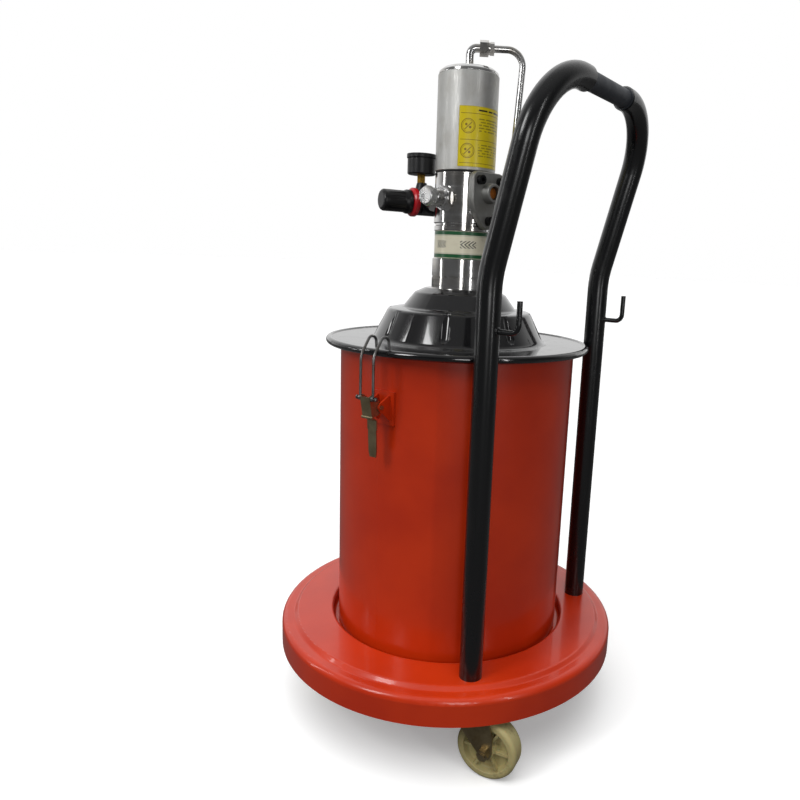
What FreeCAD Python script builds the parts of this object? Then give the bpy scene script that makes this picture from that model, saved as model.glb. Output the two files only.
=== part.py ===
import FreeCAD, Part
import math
import os

from FreeCAD import Vector

# Air-driven drum pump for gear oil on a four-wheel trolley, in millimetres.
# Z is up, the floor is z = 0 and the drum's axis is the Z axis. The handle is on the +Y side.
# A bearing is an angle round the Z axis that starts at -Y and grows towards +X.

RUN = 0.05              # radial clearance of a running fit
GAP = 0.4               # clearance between pieces that move past each other

# Base tray
TRAY_RADIUS = 232.0
TRAY_TOP = 116.0        # height of the outer band
SKIRT = 35.0
TRAY_SHEET = 2.0
TRAY_EDGE = 8.0         # bend between the outer band and the skirt
PLATEAU_RISE = 5.0
PLATEAU_RADIUS = 211.0
WELL_RADIUS = 162.5
WELL_DEPTH = 17.0

# Drum and lid
DRUM_RADIUS = 155.0
DRUM_HEIGHT = 391.5
DRUM_SHEET = 1.5
RIM_WIDTH = 6.0
GASKET = 2.5
LID_SHEET = 1.5
LID_RADIUS = 174.0
BEAD_RADIUS = 4.5       # rolled edge of the lid
TIER_FOOT = 114.0
TIER_TOP = 94.0
TIER_HEIGHT = 39.5
CROWN_FOOT = 75.0
CROWN_TOP = 60.0
CROWN_HEIGHT = 62.0
FLUTES = 8
FLUTE_RADIUS = 9.0
FLUTE_BEARING = 26.5

# Heights that the tray and the drum set
plateau_top = TRAY_TOP + PLATEAU_RISE
tray_under = plateau_top - TRAY_SHEET
well_floor = plateau_top - WELL_DEPTH
drum_top = well_floor + DRUM_HEIGHT
lid_under = drum_top + GASKET
flange_top = lid_under + LID_SHEET
lid_top = flange_top + CROWN_HEIGHT

# Drum bolts
BOLT_CIRCLE = 110.0
BOLT_RADIUS = 4.0
BOLTS = 4

# Casters
WHEEL_RADIUS = 38.0
WHEEL_WIDTH = 25.0
HUB_WIDTH = 27.0
TRAIL = 29.0
FORK_INSIDE = 28.0
FORK_SHEET = 2.5
STEM_RADIUS = 6.0
WELD_NUT = 6.0
AXLE_RADIUS = 4.0
CASTER_HEADINGS = (190.0, 285.0, 262.0, 201.0)   # where each caster trails at rest
RIBS = 6

# Handle
POST_X = 137.0
POST_Y = 135.0
TUBE_RADIUS = 13.7
TUBE_WALL = 1.6
LEAN_START = 589.0      # height where the posts turn outwards
LEAN = 14.0             # degrees
LEAN_BEND = 130.0
HANDLE_TOP = 798.6      # centre of the cross bar
CORNER_BEND = 78.0
BAR_HALF = 51.5         # half the length of the bar that shows
BAR_RADIUS = 10.6
BAR_PLUG = 6.0
HOOK_HEIGHT = 532.0
HOOK_REACH = 38.5
HOOK_RISE = 34.0
HOOK_WIRE = 3.0

# Latches
LATCH_BEARINGS = (92.8, 272.8)
PIVOT_RADIUS = 173.0
PIVOT_HEIGHT = drum_top - 61.5
PIVOT_PIN = 2.0
BAIL_RADIUS = 188.0     # distance of the wire from the drum's axis
BAIL_HEIGHT = drum_top - 49.5
BAIL_WIRE = 1.6
BAIL_HALF = 9.2
BAIL_PIN = 13.5         # half the length of the pin that the two hooks hang from
LIP_RADIUS = 185.5
LIP_HEIGHT = drum_top - 72.0
BLADE_RADIUS = 177.5
BLADE_LENGTH = 45.0
CHEEK_HALF = 7.0
CHEEK_SHEET = 1.5

# Air motor, heights of its joints
NECK_RADIUS = 38.3
NECK_TOP = lid_top + 87.5
BAND_LOW = lid_top + 44.5
BAND_HIGH = lid_top + 78.0
BAND_RADIUS = 36.1
BODY_RADIUS = 38.0
BODY_TOP = lid_top + 150.5
MOTOR_GASKET = 1.5
CYLINDER_RADIUS = 38.4
CYLINDER_BORE = 34.0
CYLINDER_TOP = lid_top + 267.5
CAP_HEIGHT = 7.5
ROD_RADIUS = 7.0
PISTON_LOW = lid_top + 157.5
PISTON_DEPTH = 16.0

# Valve cover, relief valve and air pipe
COVER_BEARING = 167.8
COVER_SEAT = 38.0       # distance of the cover's back from the axis
COVER_DEPTH = 8.0
COVER_PAD = 20.0
COVER_SCREWS = ((-17.0, lid_top + 140), (17.0, lid_top + 140), (0.0, lid_top + 91.5))
COVER_CORNER = 10.5     # radius of its outline round a screw
COVER_BELLY = (0.0, lid_top + 117.5, 27.5)
COVER_BOSS_HEIGHT = lid_top + 125.1
RELIEF_BEARING = 86.3
RELIEF_HEIGHT = lid_top + 117.5
PIPE_BEARING = 215.0
PIPE_RADIUS = 4.2
PIPE_HEIGHT = lid_top + 301.0
PIPE_OUT = 67.5
PIPE_FOOT_OUT = 57.5
PIPE_FOOT_HEIGHT = lid_top + 124.5
SPOOL_RADIUS = 5.0
SPOOL_OUT = 23.0
SPOOL_LENGTH = 40.0

# Regulator and gauge
REGULATOR_BEARING = 2.7
REGULATOR_OUT = 61.2
REGULATOR_HEIGHT = lid_top + 114.5
KNOB_BEARING = 64.3
KNOB_RADIUS = 13.9
KNOB_END = 64.0
RING_RADIUS = 18.6
GAUGE_OFFSET = 7.0
GAUGE_RADIUS = 19.6
GAUGE_LOW = lid_top + 150.0
GAUGE_DEPTH = 26.0

# Fluid end
SUCTION_RADIUS = 20.0
SUCTION_BORE = 17.0
SUCTION_LOW = 134.0
PLUNGER_LOW = 300.0
OUTLET_BEARING = 305.0
OUTLET_HEIGHT = lid_top + 26.5
OUTLET_THREAD = 8.33

# Heights that follow from the sizes above
neck_low = lid_top + 5.5
motor_low = BODY_TOP + MOTOR_GASKET
lean_out = math.tan(math.radians(LEAN)) * (HANDLE_TOP - LEAN_START)
post_places = [(POST_X, POST_Y), (-POST_X, POST_Y), (-POST_X, -POST_Y), (POST_X, -POST_Y)]

X_AXIS, Y_AXIS, Z_AXIS = Vector(1, 0, 0), Vector(0, 1, 0), Vector(0, 0, 1)
ORIGIN = Vector(0, 0, 0)


# ---------------------------------------------------------------- shape helpers

def cylinder(radius, low, high, x=0.0, y=0.0):
    return Part.makeCylinder(radius, high - low, Vector(x, y, low))


def ring(outer, inner, low, high, x=0.0, y=0.0):
    return cylinder(outer, low, high, x, y).cut(cylinder(inner, low - 1, high + 1, x, y))


def box(x, y, z):
    """Block between two limits on each axis."""
    return Part.makeBox(x[1] - x[0], y[1] - y[0], z[1] - z[0], Vector(x[0], y[0], z[0]))


def hexagon(across_flats, low, high):
    radius = across_flats / math.sqrt(3)
    corners = [Vector(radius * math.cos(math.radians(60 * i)), radius * math.sin(math.radians(60 * i)), low)
               for i in range(7)]
    return Part.Face(Part.makePolygon(corners)).extrude(Vector(0, 0, high - low))


def fuse(first, *others):
    return first.multiFuse(list(others)).removeSplitter()


def bent_line(points, bends):
    """Straight runs joined by tangent arcs, one bend radius for each inner point."""
    edges = []
    start = points[0]
    for before, corner, after, bend in zip(points, points[1:], points[2:], bends):
        into = (before - corner).normalize()
        out = (after - corner).normalize()
        half = into.getAngle(out) / 2
        if bend <= 0 or half > 1.57:
            edges.append(Part.LineSegment(start, corner).toShape())
            start = corner
            continue
        reach = bend / math.tan(half)
        first = corner + into * reach
        last = corner + out * reach
        middle = corner + (into + out).normalize() * (bend / math.sin(half) - bend)
        if (first - start).Length > 1e-6:
            edges.append(Part.LineSegment(start, first).toShape())
        edges.append(Part.Arc(first, middle, last).toShape())
        start = last
    edges.append(Part.LineSegment(start, points[-1]).toShape())
    return edges


def bar(points, bends, radius, bore=0.0):
    """Round bar or tube along a bent line."""
    path = Part.Wire(bent_line(points, bends))
    heading = points[1] - points[0]

    def swept(size):
        rim = Part.Wire(Part.makeCircle(size, points[0], heading))
        return path.makePipeShell([rim], True, True)

    return swept(radius).cut(swept(bore)) if bore else swept(radius)


def spun(outline, bends=None):
    """Solid of revolution of a closed outline of (radius, height) points; bends rounds chosen corners."""
    points = [Vector(r, 0, z) for r, z in outline]
    radii = list(bends) if bends else [0.0] * len(points)
    seam = (points[-1] + points[0]) * 0.5
    edges = bent_line([seam] + points + [seam], radii)
    return Part.Face(Part.Wire(edges)).revolve(ORIGIN, Z_AXIS, 360)


def spun_sheet(outline, thickness):
    """Pressed sheet: (radius, height, bend) points of its upper face from the axis outwards."""
    flat = [(r, z) for r, z, _ in outline]
    bends = [bend for _, _, bend in outline[1:-1]]
    runs = []
    for (r0, z0), (r1, z1) in zip(flat, flat[1:]):
        length = math.hypot(r1 - r0, z1 - z0)
        runs.append(((r1 - r0) / length, (z1 - z0) / length))
    under = [(flat[0][0] + thickness * runs[0][1], flat[0][1] - thickness * runs[0][0])]
    under_bends = []
    for (r, z), one, two, bend in zip(flat[1:], runs, runs[1:], bends):
        scale = thickness / (1 + one[0] * two[0] + one[1] * two[1])
        under.append((r + scale * (one[1] + two[1]), z - scale * (one[0] + two[0])))
        turn = one[0] * two[1] - one[1] * two[0]
        under_bends.append(bend + thickness if turn > 0 else max(bend - thickness, 0.1))
    under.append((flat[-1][0] + thickness * runs[-1][1], flat[-1][1] - thickness * runs[-1][0]))
    top = [Vector(r, 0, z) for r, z in flat]
    bottom = [Vector(r, 0, z) for r, z in under]
    edges = bent_line(top, bends) + bent_line(bottom, under_bends)
    for one, two in ((top[0], bottom[0]), (top[-1], bottom[-1])):
        edges.append(Part.LineSegment(one, two).toShape())
    wire = Part.Wire(Part.__sortEdges__(edges))
    return Part.Face(wire).revolve(ORIGIN, Z_AXIS, 360)


def plate(outline, low, high):
    """Flat plate: an outline of (x, z) points, between two limits along Y."""
    corners = [Vector(x, low, z) for x, z in outline]
    return Part.Face(Part.makePolygon(corners + corners[:1])).extrude(Vector(0, high - low, 0))


def laid(shape):
    """Turns a shape built up along +Z so that it points along +X."""
    turned = shape.copy()
    turned.rotate(ORIGIN, Y_AXIS, 90)
    return turned


def facing(shape, bearing, x=0.0, y=0.0, height=0.0):
    """Turns a shape whose front is +X to a bearing and moves it to a place."""
    moved = shape.copy()
    moved.rotate(ORIGIN, Z_AXIS, bearing - 90)
    moved.translate(Vector(x, y, height))
    return moved


def mirrored(shape):
    return shape.mirror(ORIGIN, X_AXIS)


# ---------------------------------------------------------------- trolley

def base_tray():
    outline = [
        (0, well_floor, 0),
        (WELL_RADIUS, well_floor, 5),
        (WELL_RADIUS, plateau_top, 4),
        (PLATEAU_RADIUS, plateau_top, 3),
        (PLATEAU_RADIUS + 5, TRAY_TOP, 3),
        (TRAY_RADIUS, TRAY_TOP, TRAY_EDGE),
        (TRAY_RADIUS, TRAY_TOP - SKIRT, 0),
    ]
    tray = spun_sheet(outline, TRAY_SHEET)
    for x, y in post_places[:2]:
        tray = tray.cut(cylinder(STEM_RADIUS + GAP, well_floor - 5, plateau_top + 5, x, y))
    return tray.cut(drum_bolt_holes())


def drum_bolt_holes():
    holes = [facing(cylinder(BOLT_RADIUS + GAP, well_floor - 5, well_floor + 5, BOLT_CIRCLE), 360 * i / BOLTS)
             for i in range(BOLTS)]
    return fuse(*holes)


def drum():
    outline = [
        (0, well_floor + DRUM_SHEET, 0),
        (DRUM_RADIUS - DRUM_SHEET, well_floor + DRUM_SHEET, 4),
        (DRUM_RADIUS - DRUM_SHEET, drum_top, 2),
        (DRUM_RADIUS + RIM_WIDTH, drum_top, 0),
    ]
    shell = spun_sheet(outline, DRUM_SHEET)
    return shell.cut(drum_bolt_holes())


def drum_bolts():
    """Dome-headed bolts inside the drum, with their nuts under the tray."""
    solids = []
    top = well_floor + DRUM_SHEET
    under = well_floor - TRAY_SHEET
    for i in range(BOLTS):
        bolt = fuse(cylinder(BOLT_RADIUS, under - 9, top + 1), cylinder(9, top, top + 4))
        nut = hexagon(13, under - 6.5, under).cut(cylinder(BOLT_RADIUS, under - 7, under + 1))
        for piece in (bolt, nut):
            piece.translate(Vector(BOLT_CIRCLE, 0, 0))
            solids.append(facing(piece, 360 * i / BOLTS))
    return Part.makeCompound(solids)


def caster_stems():
    """Threaded stems with the hexagon, the bearing disc and the riveted end that hold the forks."""
    solids = []
    for x, y in post_places:
        in_post = y > 0
        stem = fuse(
            cylinder(STEM_RADIUS, fork_top - FORK_SHEET - 3.0, tray_under + 24 if in_post else tray_under),
            hexagon(22, fork_top + 4.5, tray_under if in_post else tray_under - WELD_NUT),
            cylinder(20, fork_top + GAP, fork_top + 4.5),
            cylinder(10, fork_top - FORK_SHEET - 3.0, fork_top - FORK_SHEET - GAP),
        )
        stem.translate(Vector(x, y, 0))
        solids.append(stem)
    return Part.makeCompound(solids)


fork_top = tray_under - 12.0


def caster_fork():
    """Folded fork; the wheel trails along +X and the swivel axis is the Z axis."""
    half = FORK_INSIDE / 2 + FORK_SHEET
    outline = [
        (-19, fork_top), (20, fork_top), (28, fork_top - 16), (TRAIL + 9.5, 62),
        (TRAIL + 9.5, WHEEL_RADIUS), (TRAIL + 6.7, WHEEL_RADIUS - 6.7), (TRAIL, WHEEL_RADIUS - 9.5),
        (TRAIL - 6.7, WHEEL_RADIUS - 6.7), (TRAIL - 10, WHEEL_RADIUS - 1), (1, 57), (-19, 84),
    ]
    fork = plate(outline, -half, half)
    room = box((-60, 90), (-FORK_INSIDE / 2, FORK_INSIDE / 2), (0, fork_top - FORK_SHEET))
    fork = fork.cut(room)
    fork = fork.cut(cylinder(STEM_RADIUS + RUN, fork_top - 10, fork_top + 5))
    corners = fuse(*[facing(box((-60, 90), (side - 6, side + 6), (fork_top - 6, fork_top + 1)), 90)
                     .cut(laid(cylinder(6, -70, 100)).translated(Vector(0, place, fork_top - 6)))
                     for side, place in ((half, half - 6), (-half, 6 - half))])
    fork = fork.cut(corners)
    axle = Part.makeCylinder(AXLE_RADIUS, 80, Vector(TRAIL, -40, WHEEL_RADIUS), Y_AXIS)
    return fork.cut(axle)


def caster_wheel():
    """Moulded wheel about the Y axis: rounded tread, thin web, hub and ribs on both sides."""
    half, hub = WHEEL_WIDTH / 2, HUB_WIDTH / 2
    bore = AXLE_RADIUS + RUN
    outline = [(bore, -hub), (10, -hub), (11.5, -4), (27, -4), (29, -half), (WHEEL_RADIUS, -half),
               (WHEEL_RADIUS, half), (29, half), (27, 4), (11.5, 4), (10, hub), (bore, hub)]
    bends = [0, 1, 2, 2, 1, 5, 5, 1, 2, 2, 1, 0]
    wheel = spun(outline, bends)
    rib = box((9.5, 28.5), (-1.6, 1.6), (-half + 2.5, half - 2.5))
    ribs = [rib.rotated(ORIGIN, Z_AXIS, 360 * i / RIBS) for i in range(RIBS)]
    wheel = fuse(wheel, *ribs)
    wheel.rotate(ORIGIN, X_AXIS, 90)
    wheel.translate(Vector(TRAIL, 0, WHEEL_RADIUS))
    return wheel


def caster_axle():
    """Axle bolt with a round head, and its nut."""
    side = FORK_INSIDE / 2 + FORK_SHEET
    bolt = fuse(cylinder(AXLE_RADIUS, -side - 9, side + 1), spun(
        [(0, side), (6.5, side), (6.5, side + 2.5), (4.5, side + 5), (0, side + 5)], [0, 0, 1, 1, 0]))
    bolt = bolt.cut(hexagon(4, side + 2, side + 6))
    nut = hexagon(13, -side - 6.5, -side).cut(cylinder(AXLE_RADIUS, -side - 7, -side + 1))
    pair = Part.makeCompound([bolt, nut])
    pair.rotate(ORIGIN, X_AXIS, -90)
    pair.translate(Vector(TRAIL, 0, WHEEL_RADIUS))
    return pair


def stem_nuts():
    """Plugs welded in the posts' feet, and nuts welded under the tray at the two other corners."""
    solids = []
    for index, (x, y) in enumerate(post_places):
        if index < 2:
            nut = cylinder(TUBE_RADIUS - TUBE_WALL, plateau_top, plateau_top + 26)
        else:
            nut = hexagon(24, tray_under - WELD_NUT, tray_under)
        nut = nut.cut(cylinder(STEM_RADIUS, plateau_top - 20, plateau_top + 30))
        nut.translate(Vector(x, y, 0))
        solids.append(nut)
    return Part.makeCompound(solids)


# ---------------------------------------------------------------- handle

def handle_route():
    """Centre line of the right-hand tube, from its foot to its end in the cross bar."""
    points = [Vector(POST_X, POST_Y, plateau_top), Vector(POST_X, POST_Y, LEAN_START),
              Vector(POST_X, POST_Y + lean_out, HANDLE_TOP), Vector(BAR_HALF, POST_Y + lean_out, HANDLE_TOP)]
    return points, [LEAN_BEND, CORNER_BEND]


def handle_tube():
    points, bends = handle_route()
    return bar(points, bends, TUBE_RADIUS, TUBE_RADIUS - TUBE_WALL)


def handle_bar():
    """Cross bar that plugs into both tubes; it is waisted where it shows between them."""
    inside = TUBE_RADIUS - TUBE_WALL
    plug = BAR_HALF + BAR_PLUG
    outline = [(0, -plug), (inside, -plug), (inside, -BAR_HALF), (BAR_RADIUS, -BAR_HALF),
               (BAR_RADIUS, BAR_HALF), (inside, BAR_HALF), (inside, plug), (0, plug)]
    grip = laid(spun(outline))
    grip.translate(Vector(0, POST_Y + lean_out, HANDLE_TOP))
    return grip


def hose_hook():
    """Bent rod welded to the outer side of the post."""
    start = POST_Y + TUBE_RADIUS
    end = POST_Y + HOOK_REACH
    points = [Vector(POST_X, start, HOOK_HEIGHT), Vector(POST_X, end, HOOK_HEIGHT),
              Vector(POST_X, end, HOOK_HEIGHT + HOOK_RISE)]
    foot = Part.makeCylinder(HOOK_WIRE, 4, Vector(POST_X, start - 4, HOOK_HEIGHT), Y_AXIS)
    post = cylinder(TUBE_RADIUS, HOOK_HEIGHT - 20, HOOK_HEIGHT + 20, POST_X, POST_Y)
    return fuse(bar(points, [9.0], HOOK_WIRE), foot).cut(post)


# ---------------------------------------------------------------- lid and latches

def lid():
    outline = [
        (24.5, neck_low, 0),
        (46, neck_low, 6),
        (CROWN_TOP, lid_top - 1, 7),
        (CROWN_FOOT, flange_top + TIER_HEIGHT + 2, 5),
        (TIER_TOP, flange_top + TIER_HEIGHT, 6),
        (TIER_FOOT, flange_top, 8),
        (LID_RADIUS - BEAD_RADIUS, flange_top, 0),
    ]
    sheet = spun_sheet(outline, LID_SHEET)
    for i in range(FLUTES):
        bearing = FLUTE_BEARING + 360 * i / FLUTES
        sheet = sheet.cut(facing(flute(FLUTE_RADIUS), bearing))
        pressed = flute(FLUTE_RADIUS + LID_SHEET).cut(flute(FLUTE_RADIUS))
        sheet = sheet.fuse(facing(pressed, bearing).common(lid_inside()))
    bead = Part.makeTorus(LID_RADIUS - BEAD_RADIUS, BEAD_RADIUS, Vector(0, 0, flange_top + 1.5 - BEAD_RADIUS))
    return fuse(sheet, bead)


def flute(radius):
    """Round-bottomed scoop at the edge of the lid's lower tier, on the +X side."""
    axis = Vector(-math.sin(math.radians(20)), 0, math.cos(math.radians(20)))
    foot = Vector(TIER_FOOT - 1.0, 0, flange_top + 14)
    scoop = Part.makeCylinder(radius, 60, foot, axis)
    return scoop.fuse(Part.makeSphere(radius, foot))


def lid_inside():
    """Space that the lower tier of the lid encloses, up to its outer face."""
    return spun([(0, flange_top - LID_SHEET), (TIER_FOOT - 2, flange_top), (TIER_TOP, flange_top + TIER_HEIGHT - 0.2),
                 (CROWN_FOOT, flange_top + TIER_HEIGHT + 1.5), (0, flange_top + TIER_HEIGHT + 1.5)])


def latch_bracket():
    """Base and two ears, welded to the drum; +X is outwards."""
    base = box((DRUM_RADIUS - 5, DRUM_RADIUS + 2.2), (-15, 15), (PIVOT_HEIGHT - 24, PIVOT_HEIGHT + 16))
    base = base.cut(cylinder(DRUM_RADIUS, PIVOT_HEIGHT - 60, PIVOT_HEIGHT + 60))
    inner = DRUM_RADIUS + 1
    ear = [(inner, 13), (PIVOT_RADIUS - 3, 7), (PIVOT_RADIUS + 2, 5), (PIVOT_RADIUS + 5, 0), (PIVOT_RADIUS + 2, -5),
           (PIVOT_RADIUS - 3, -8), (inner, -20)]
    outline = [(r, PIVOT_HEIGHT + z) for r, z in ear]
    inside, outside = CHEEK_HALF + GAP, CHEEK_HALF + GAP + 2
    bracket = fuse(base, plate(outline, inside, outside), plate(outline, -outside, -inside))
    pin = Part.makeCylinder(PIVOT_PIN, 60, Vector(PIVOT_RADIUS, -30, PIVOT_HEIGHT), Y_AXIS)
    return bracket.cut(pin)


def latch_pin():
    half = CHEEK_HALF + GAP + 2
    pin = fuse(cylinder(PIVOT_PIN, -half - 1.5, half + 0.5), cylinder(PIVOT_PIN + 1.4, half, half + 1.6),
               cylinder(PIVOT_PIN + 0.8, -half - 1.5, -half))
    pin.rotate(ORIGIN, X_AXIS, 90)
    pin.translate(Vector(PIVOT_RADIUS, 0, PIVOT_HEIGHT))
    return pin


def latch_lever():
    """Channel with two cheeks, a curled lip and a narrow blade to pull."""
    front = [(BAIL_RADIUS + 3.5, BAIL_HEIGHT + 2), (LIP_RADIUS + 1, LIP_HEIGHT)]
    outline = [(BAIL_RADIUS - 1, BAIL_HEIGHT + 4), front[0], front[1], (PIVOT_RADIUS + 2, PIVOT_HEIGHT - 9),
               (PIVOT_RADIUS - 4.5, PIVOT_HEIGHT - 3), (PIVOT_RADIUS - 4, PIVOT_HEIGHT + 4)]
    inner = CHEEK_HALF - CHEEK_SHEET
    cheeks = [plate(outline, inner, CHEEK_HALF), plate(outline, -CHEEK_HALF, -inner)]
    skin = [front[0], front[1], (front[1][0] - CHEEK_SHEET, front[1][1]), (front[0][0] - CHEEK_SHEET, front[0][1])]
    face = plate(skin, -CHEEK_HALF, CHEEK_HALF)
    lip = Part.makeCylinder(1.8, 16, Vector(LIP_RADIUS + 0.4, -8, LIP_HEIGHT), Y_AXIS)
    low = LIP_HEIGHT - 5
    shoulder = plate([(LIP_RADIUS + 1, LIP_HEIGHT + 0.5), (BLADE_RADIUS + 0.9, low), (BLADE_RADIUS - 0.9, low),
                      (LIP_RADIUS - 1, LIP_HEIGHT + 0.5)], -CHEEK_HALF, CHEEK_HALF)
    sides = [(6.9, 0), (6.7, -11), (5.9, -13), (5.8, -BLADE_LENGTH + 8), (4.4, -BLADE_LENGTH)]
    rim = [Vector(0, y, z) for y, z in sides] + [Vector(0, -y, z) for y, z in reversed(sides)]
    blade = Part.Face(Part.makePolygon(rim + rim[:1])).extrude(Vector(1.8, 0, 0))
    blade = blade.rotated(ORIGIN, Y_AXIS, 3).translated(Vector(BLADE_RADIUS - 0.9, 0, low + 0.5))
    lever = fuse(cheeks[0], cheeks[1], face, lip, shoulder, blade)
    pivot = Part.makeCylinder(PIVOT_PIN + RUN, 60, Vector(PIVOT_RADIUS, -30, PIVOT_HEIGHT), Y_AXIS)
    wire = Part.makeCylinder(BAIL_WIRE + RUN, 60, Vector(BAIL_RADIUS, -30, BAIL_HEIGHT), Y_AXIS)
    return lever.cut(pivot).cut(wire)


def latch_bail():
    """Turned pin through the lever, with a wire hook near each end that reaches over the lid's rolled edge."""
    eye, eye_half = BAIL_WIRE + 1.4, BAIL_WIRE + 0.2
    head, head_end = BAIL_WIRE + 0.9, BAIL_PIN + 1.8
    half = [(BAIL_WIRE, BAIL_HALF - eye_half), (eye, BAIL_HALF - eye_half), (eye, BAIL_HALF + eye_half),
            (BAIL_WIRE, BAIL_HALF + eye_half), (BAIL_WIRE, BAIL_PIN - 0.8), (head, BAIL_PIN - 0.8),
            (head, head_end - 0.8), (head - 0.8, head_end), (0, head_end)]
    pin = spun([(r, -y) for r, y in reversed(half)] + half)
    pin.rotate(ORIGIN, X_AXIS, 90)
    pin.translate(Vector(BAIL_RADIUS, 0, BAIL_HEIGHT))
    tip = LID_RADIUS - 2 * BEAD_RADIUS - 4.2
    hook = [(tip, flange_top + 1.2), (tip + 1, flange_top + 12.5), (tip + 10.5, flange_top + 17.5),
            (BAIL_RADIUS, flange_top - 5), (BAIL_RADIUS, BAIL_HEIGHT)]
    legs = [bar([Vector(r, side * BAIL_HALF, z) for r, z in hook], [6.0, 7.0, 20.0], BAIL_WIRE) for side in (-1, 1)]
    return fuse(pin, *legs)


# ---------------------------------------------------------------- air motor

def neck():
    """Lower housing: its spigot passes through the lid, and the oil leaves through its side."""
    outline = [
        (ROD_RADIUS + RUN, neck_low - 6), (SUCTION_BORE, neck_low - 6), (SUCTION_BORE, neck_low - 12),
        (SUCTION_RADIUS, neck_low - 12), (SUCTION_RADIUS, neck_low - 34), (24, neck_low - 34), (24, neck_low),
        (NECK_RADIUS, neck_low), (NECK_RADIUS, neck_low + 13.5), (NECK_RADIUS - 1, neck_low + 14),
        (NECK_RADIUS - 1, neck_low + 15), (NECK_RADIUS, neck_low + 15.5), (NECK_RADIUS, BAND_LOW - 1.5),
        (BAND_RADIUS, BAND_LOW), (BAND_RADIUS, BAND_HIGH), (NECK_RADIUS - 1.2, BAND_HIGH + 1),
        (NECK_RADIUS - 1.2, NECK_TOP - 3.5), (NECK_RADIUS - 2.5, NECK_TOP - 2.5), (NECK_RADIUS - 2.5, NECK_TOP),
        (14, NECK_TOP), (14, NECK_TOP - 12), (ROD_RADIUS + RUN, NECK_TOP - 12),
    ]
    housing = spun(outline)
    boss = laid(cylinder(14, 20, NECK_RADIUS + 2))
    housing = fuse(housing, facing(boss, OUTLET_BEARING, height=OUTLET_HEIGHT))
    port = laid(cylinder(6, 12, NECK_RADIUS + 5))
    return housing.cut(facing(port, OUTLET_BEARING, height=OUTLET_HEIGHT))


def rod_packing():
    return ring(14, ROD_RADIUS + RUN, NECK_TOP - 12, NECK_TOP)


def lid_lock_ring():
    low = neck_low - LID_SHEET - 8
    nut = ring(33, 24, low, neck_low - LID_SHEET)
    for i in range(4):
        nut = nut.cut(facing(box((29, 40), (-3, 3), (low - 1, low + 4)), 90 * i))
    return nut


def outlet_fitting():
    """Hexagon nipple for the delivery hose, on the side away from the regulator."""
    start = NECK_RADIUS + 2
    nipple = fuse(cylinder(6, start - 12, start), hexagon(22, start, start + 9),
                  spun([(0, start + 9), (7, start + 9), (7, start + 10.5), (OUTLET_THREAD, start + 11.5),
                        (OUTLET_THREAD, start + 23), (7.3, start + 24), (0, start + 24)]))
    nipple = nipple.cut(cylinder(4.5, start - 15, start + 30))
    return facing(laid(nipple), OUTLET_BEARING, height=OUTLET_HEIGHT)


def cover_outline(shrink=0.0):
    """Outline drawn tight round the screws and the wide middle, as a face in the plane x = 0."""
    left, right, foot = [(y, z, COVER_CORNER) for y, z in COVER_SCREWS]
    discs = [(y, z, radius - shrink) for y, z, radius in (left, right, COVER_BELLY, foot, COVER_BELLY)]
    runs = []
    for (y0, z0, r0), (y1, z1, r1) in zip(discs, discs[1:] + discs[:1]):
        normal = math.atan2(z1 - z0, y1 - y0) + math.acos((r0 - r1) / math.hypot(y1 - y0, z1 - z0))
        step = Vector(0, math.cos(normal), math.sin(normal))
        runs.append((Vector(0, y0, z0) + step * r0, Vector(0, y1, z1) + step * r1))
    edges = []
    for (y, z, radius), before, run in zip(discs, runs[-1:] + runs, runs):
        arrive, leave = before[1], run[0]
        centre = Vector(0, y, z)
        middle = ((arrive - centre).normalize() + (leave - centre).normalize()).normalize()
        edges.append(Part.Arc(arrive, centre + middle * radius, leave).toShape())
        edges.append(Part.LineSegment(*run).toShape())
    return Part.Face(Part.Wire(edges))


def valve_body():
    body = cylinder(BODY_RADIUS, NECK_TOP, BODY_TOP)
    body = body.makeChamfer(1.2, [edge for edge in body.Edges if len(edge.Vertexes) == 1])
    pad = cover_outline(0.8).extrude(Vector(COVER_SEAT - 12, 0, 0)).translated(Vector(12, 0, 0))
    pad = pad.common(box((0, 60), (-COVER_PAD, COVER_PAD), (NECK_TOP, BODY_TOP)))
    relief_pad = facing(laid(cylinder(15.5, 10, BODY_RADIUS + 2)), RELIEF_BEARING, height=RELIEF_HEIGHT)
    inlet = at_regulator(along_port(cylinder(11.5, 24.5, 50)))
    pipe_pad = facing(laid(cylinder(9, 20, BODY_RADIUS + 2)), PIPE_BEARING, height=PIPE_FOOT_HEIGHT)
    body = fuse(body, facing(pad, COVER_BEARING), relief_pad, inlet, pipe_pad)
    cuts = [
        cylinder(ROD_RADIUS + RUN, NECK_TOP - 1, BODY_TOP + 1),
        facing(cylinder(SPOOL_RADIUS + RUN, NECK_TOP + 4, BODY_TOP + 1, SPOOL_OUT), COVER_BEARING),
        facing(laid(cylinder(8, BODY_RADIUS - 9, 60)), RELIEF_BEARING, height=RELIEF_HEIGHT),
        at_regulator(along_port(cylinder(6.6, 20, 38))),
        at_regulator(along_port(cylinder(10.4, 12, 24.5))),
        facing(laid(cylinder(PIPE_RADIUS + 1, 26, 60)), PIPE_BEARING, height=PIPE_FOOT_HEIGHT),
        facing(laid(cylinder(7.5, SPOOL_OUT, 60)), COVER_BEARING, height=COVER_BOSS_HEIGHT),
    ]
    for y, z in COVER_SCREWS:
        hole = Part.makeCylinder(3.0, 30, Vector(COVER_SEAT - 12, y, z), X_AXIS)
        cuts.append(facing(hole, COVER_BEARING))
    for cut in cuts:
        body = body.cut(cut)
    return body


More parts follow.
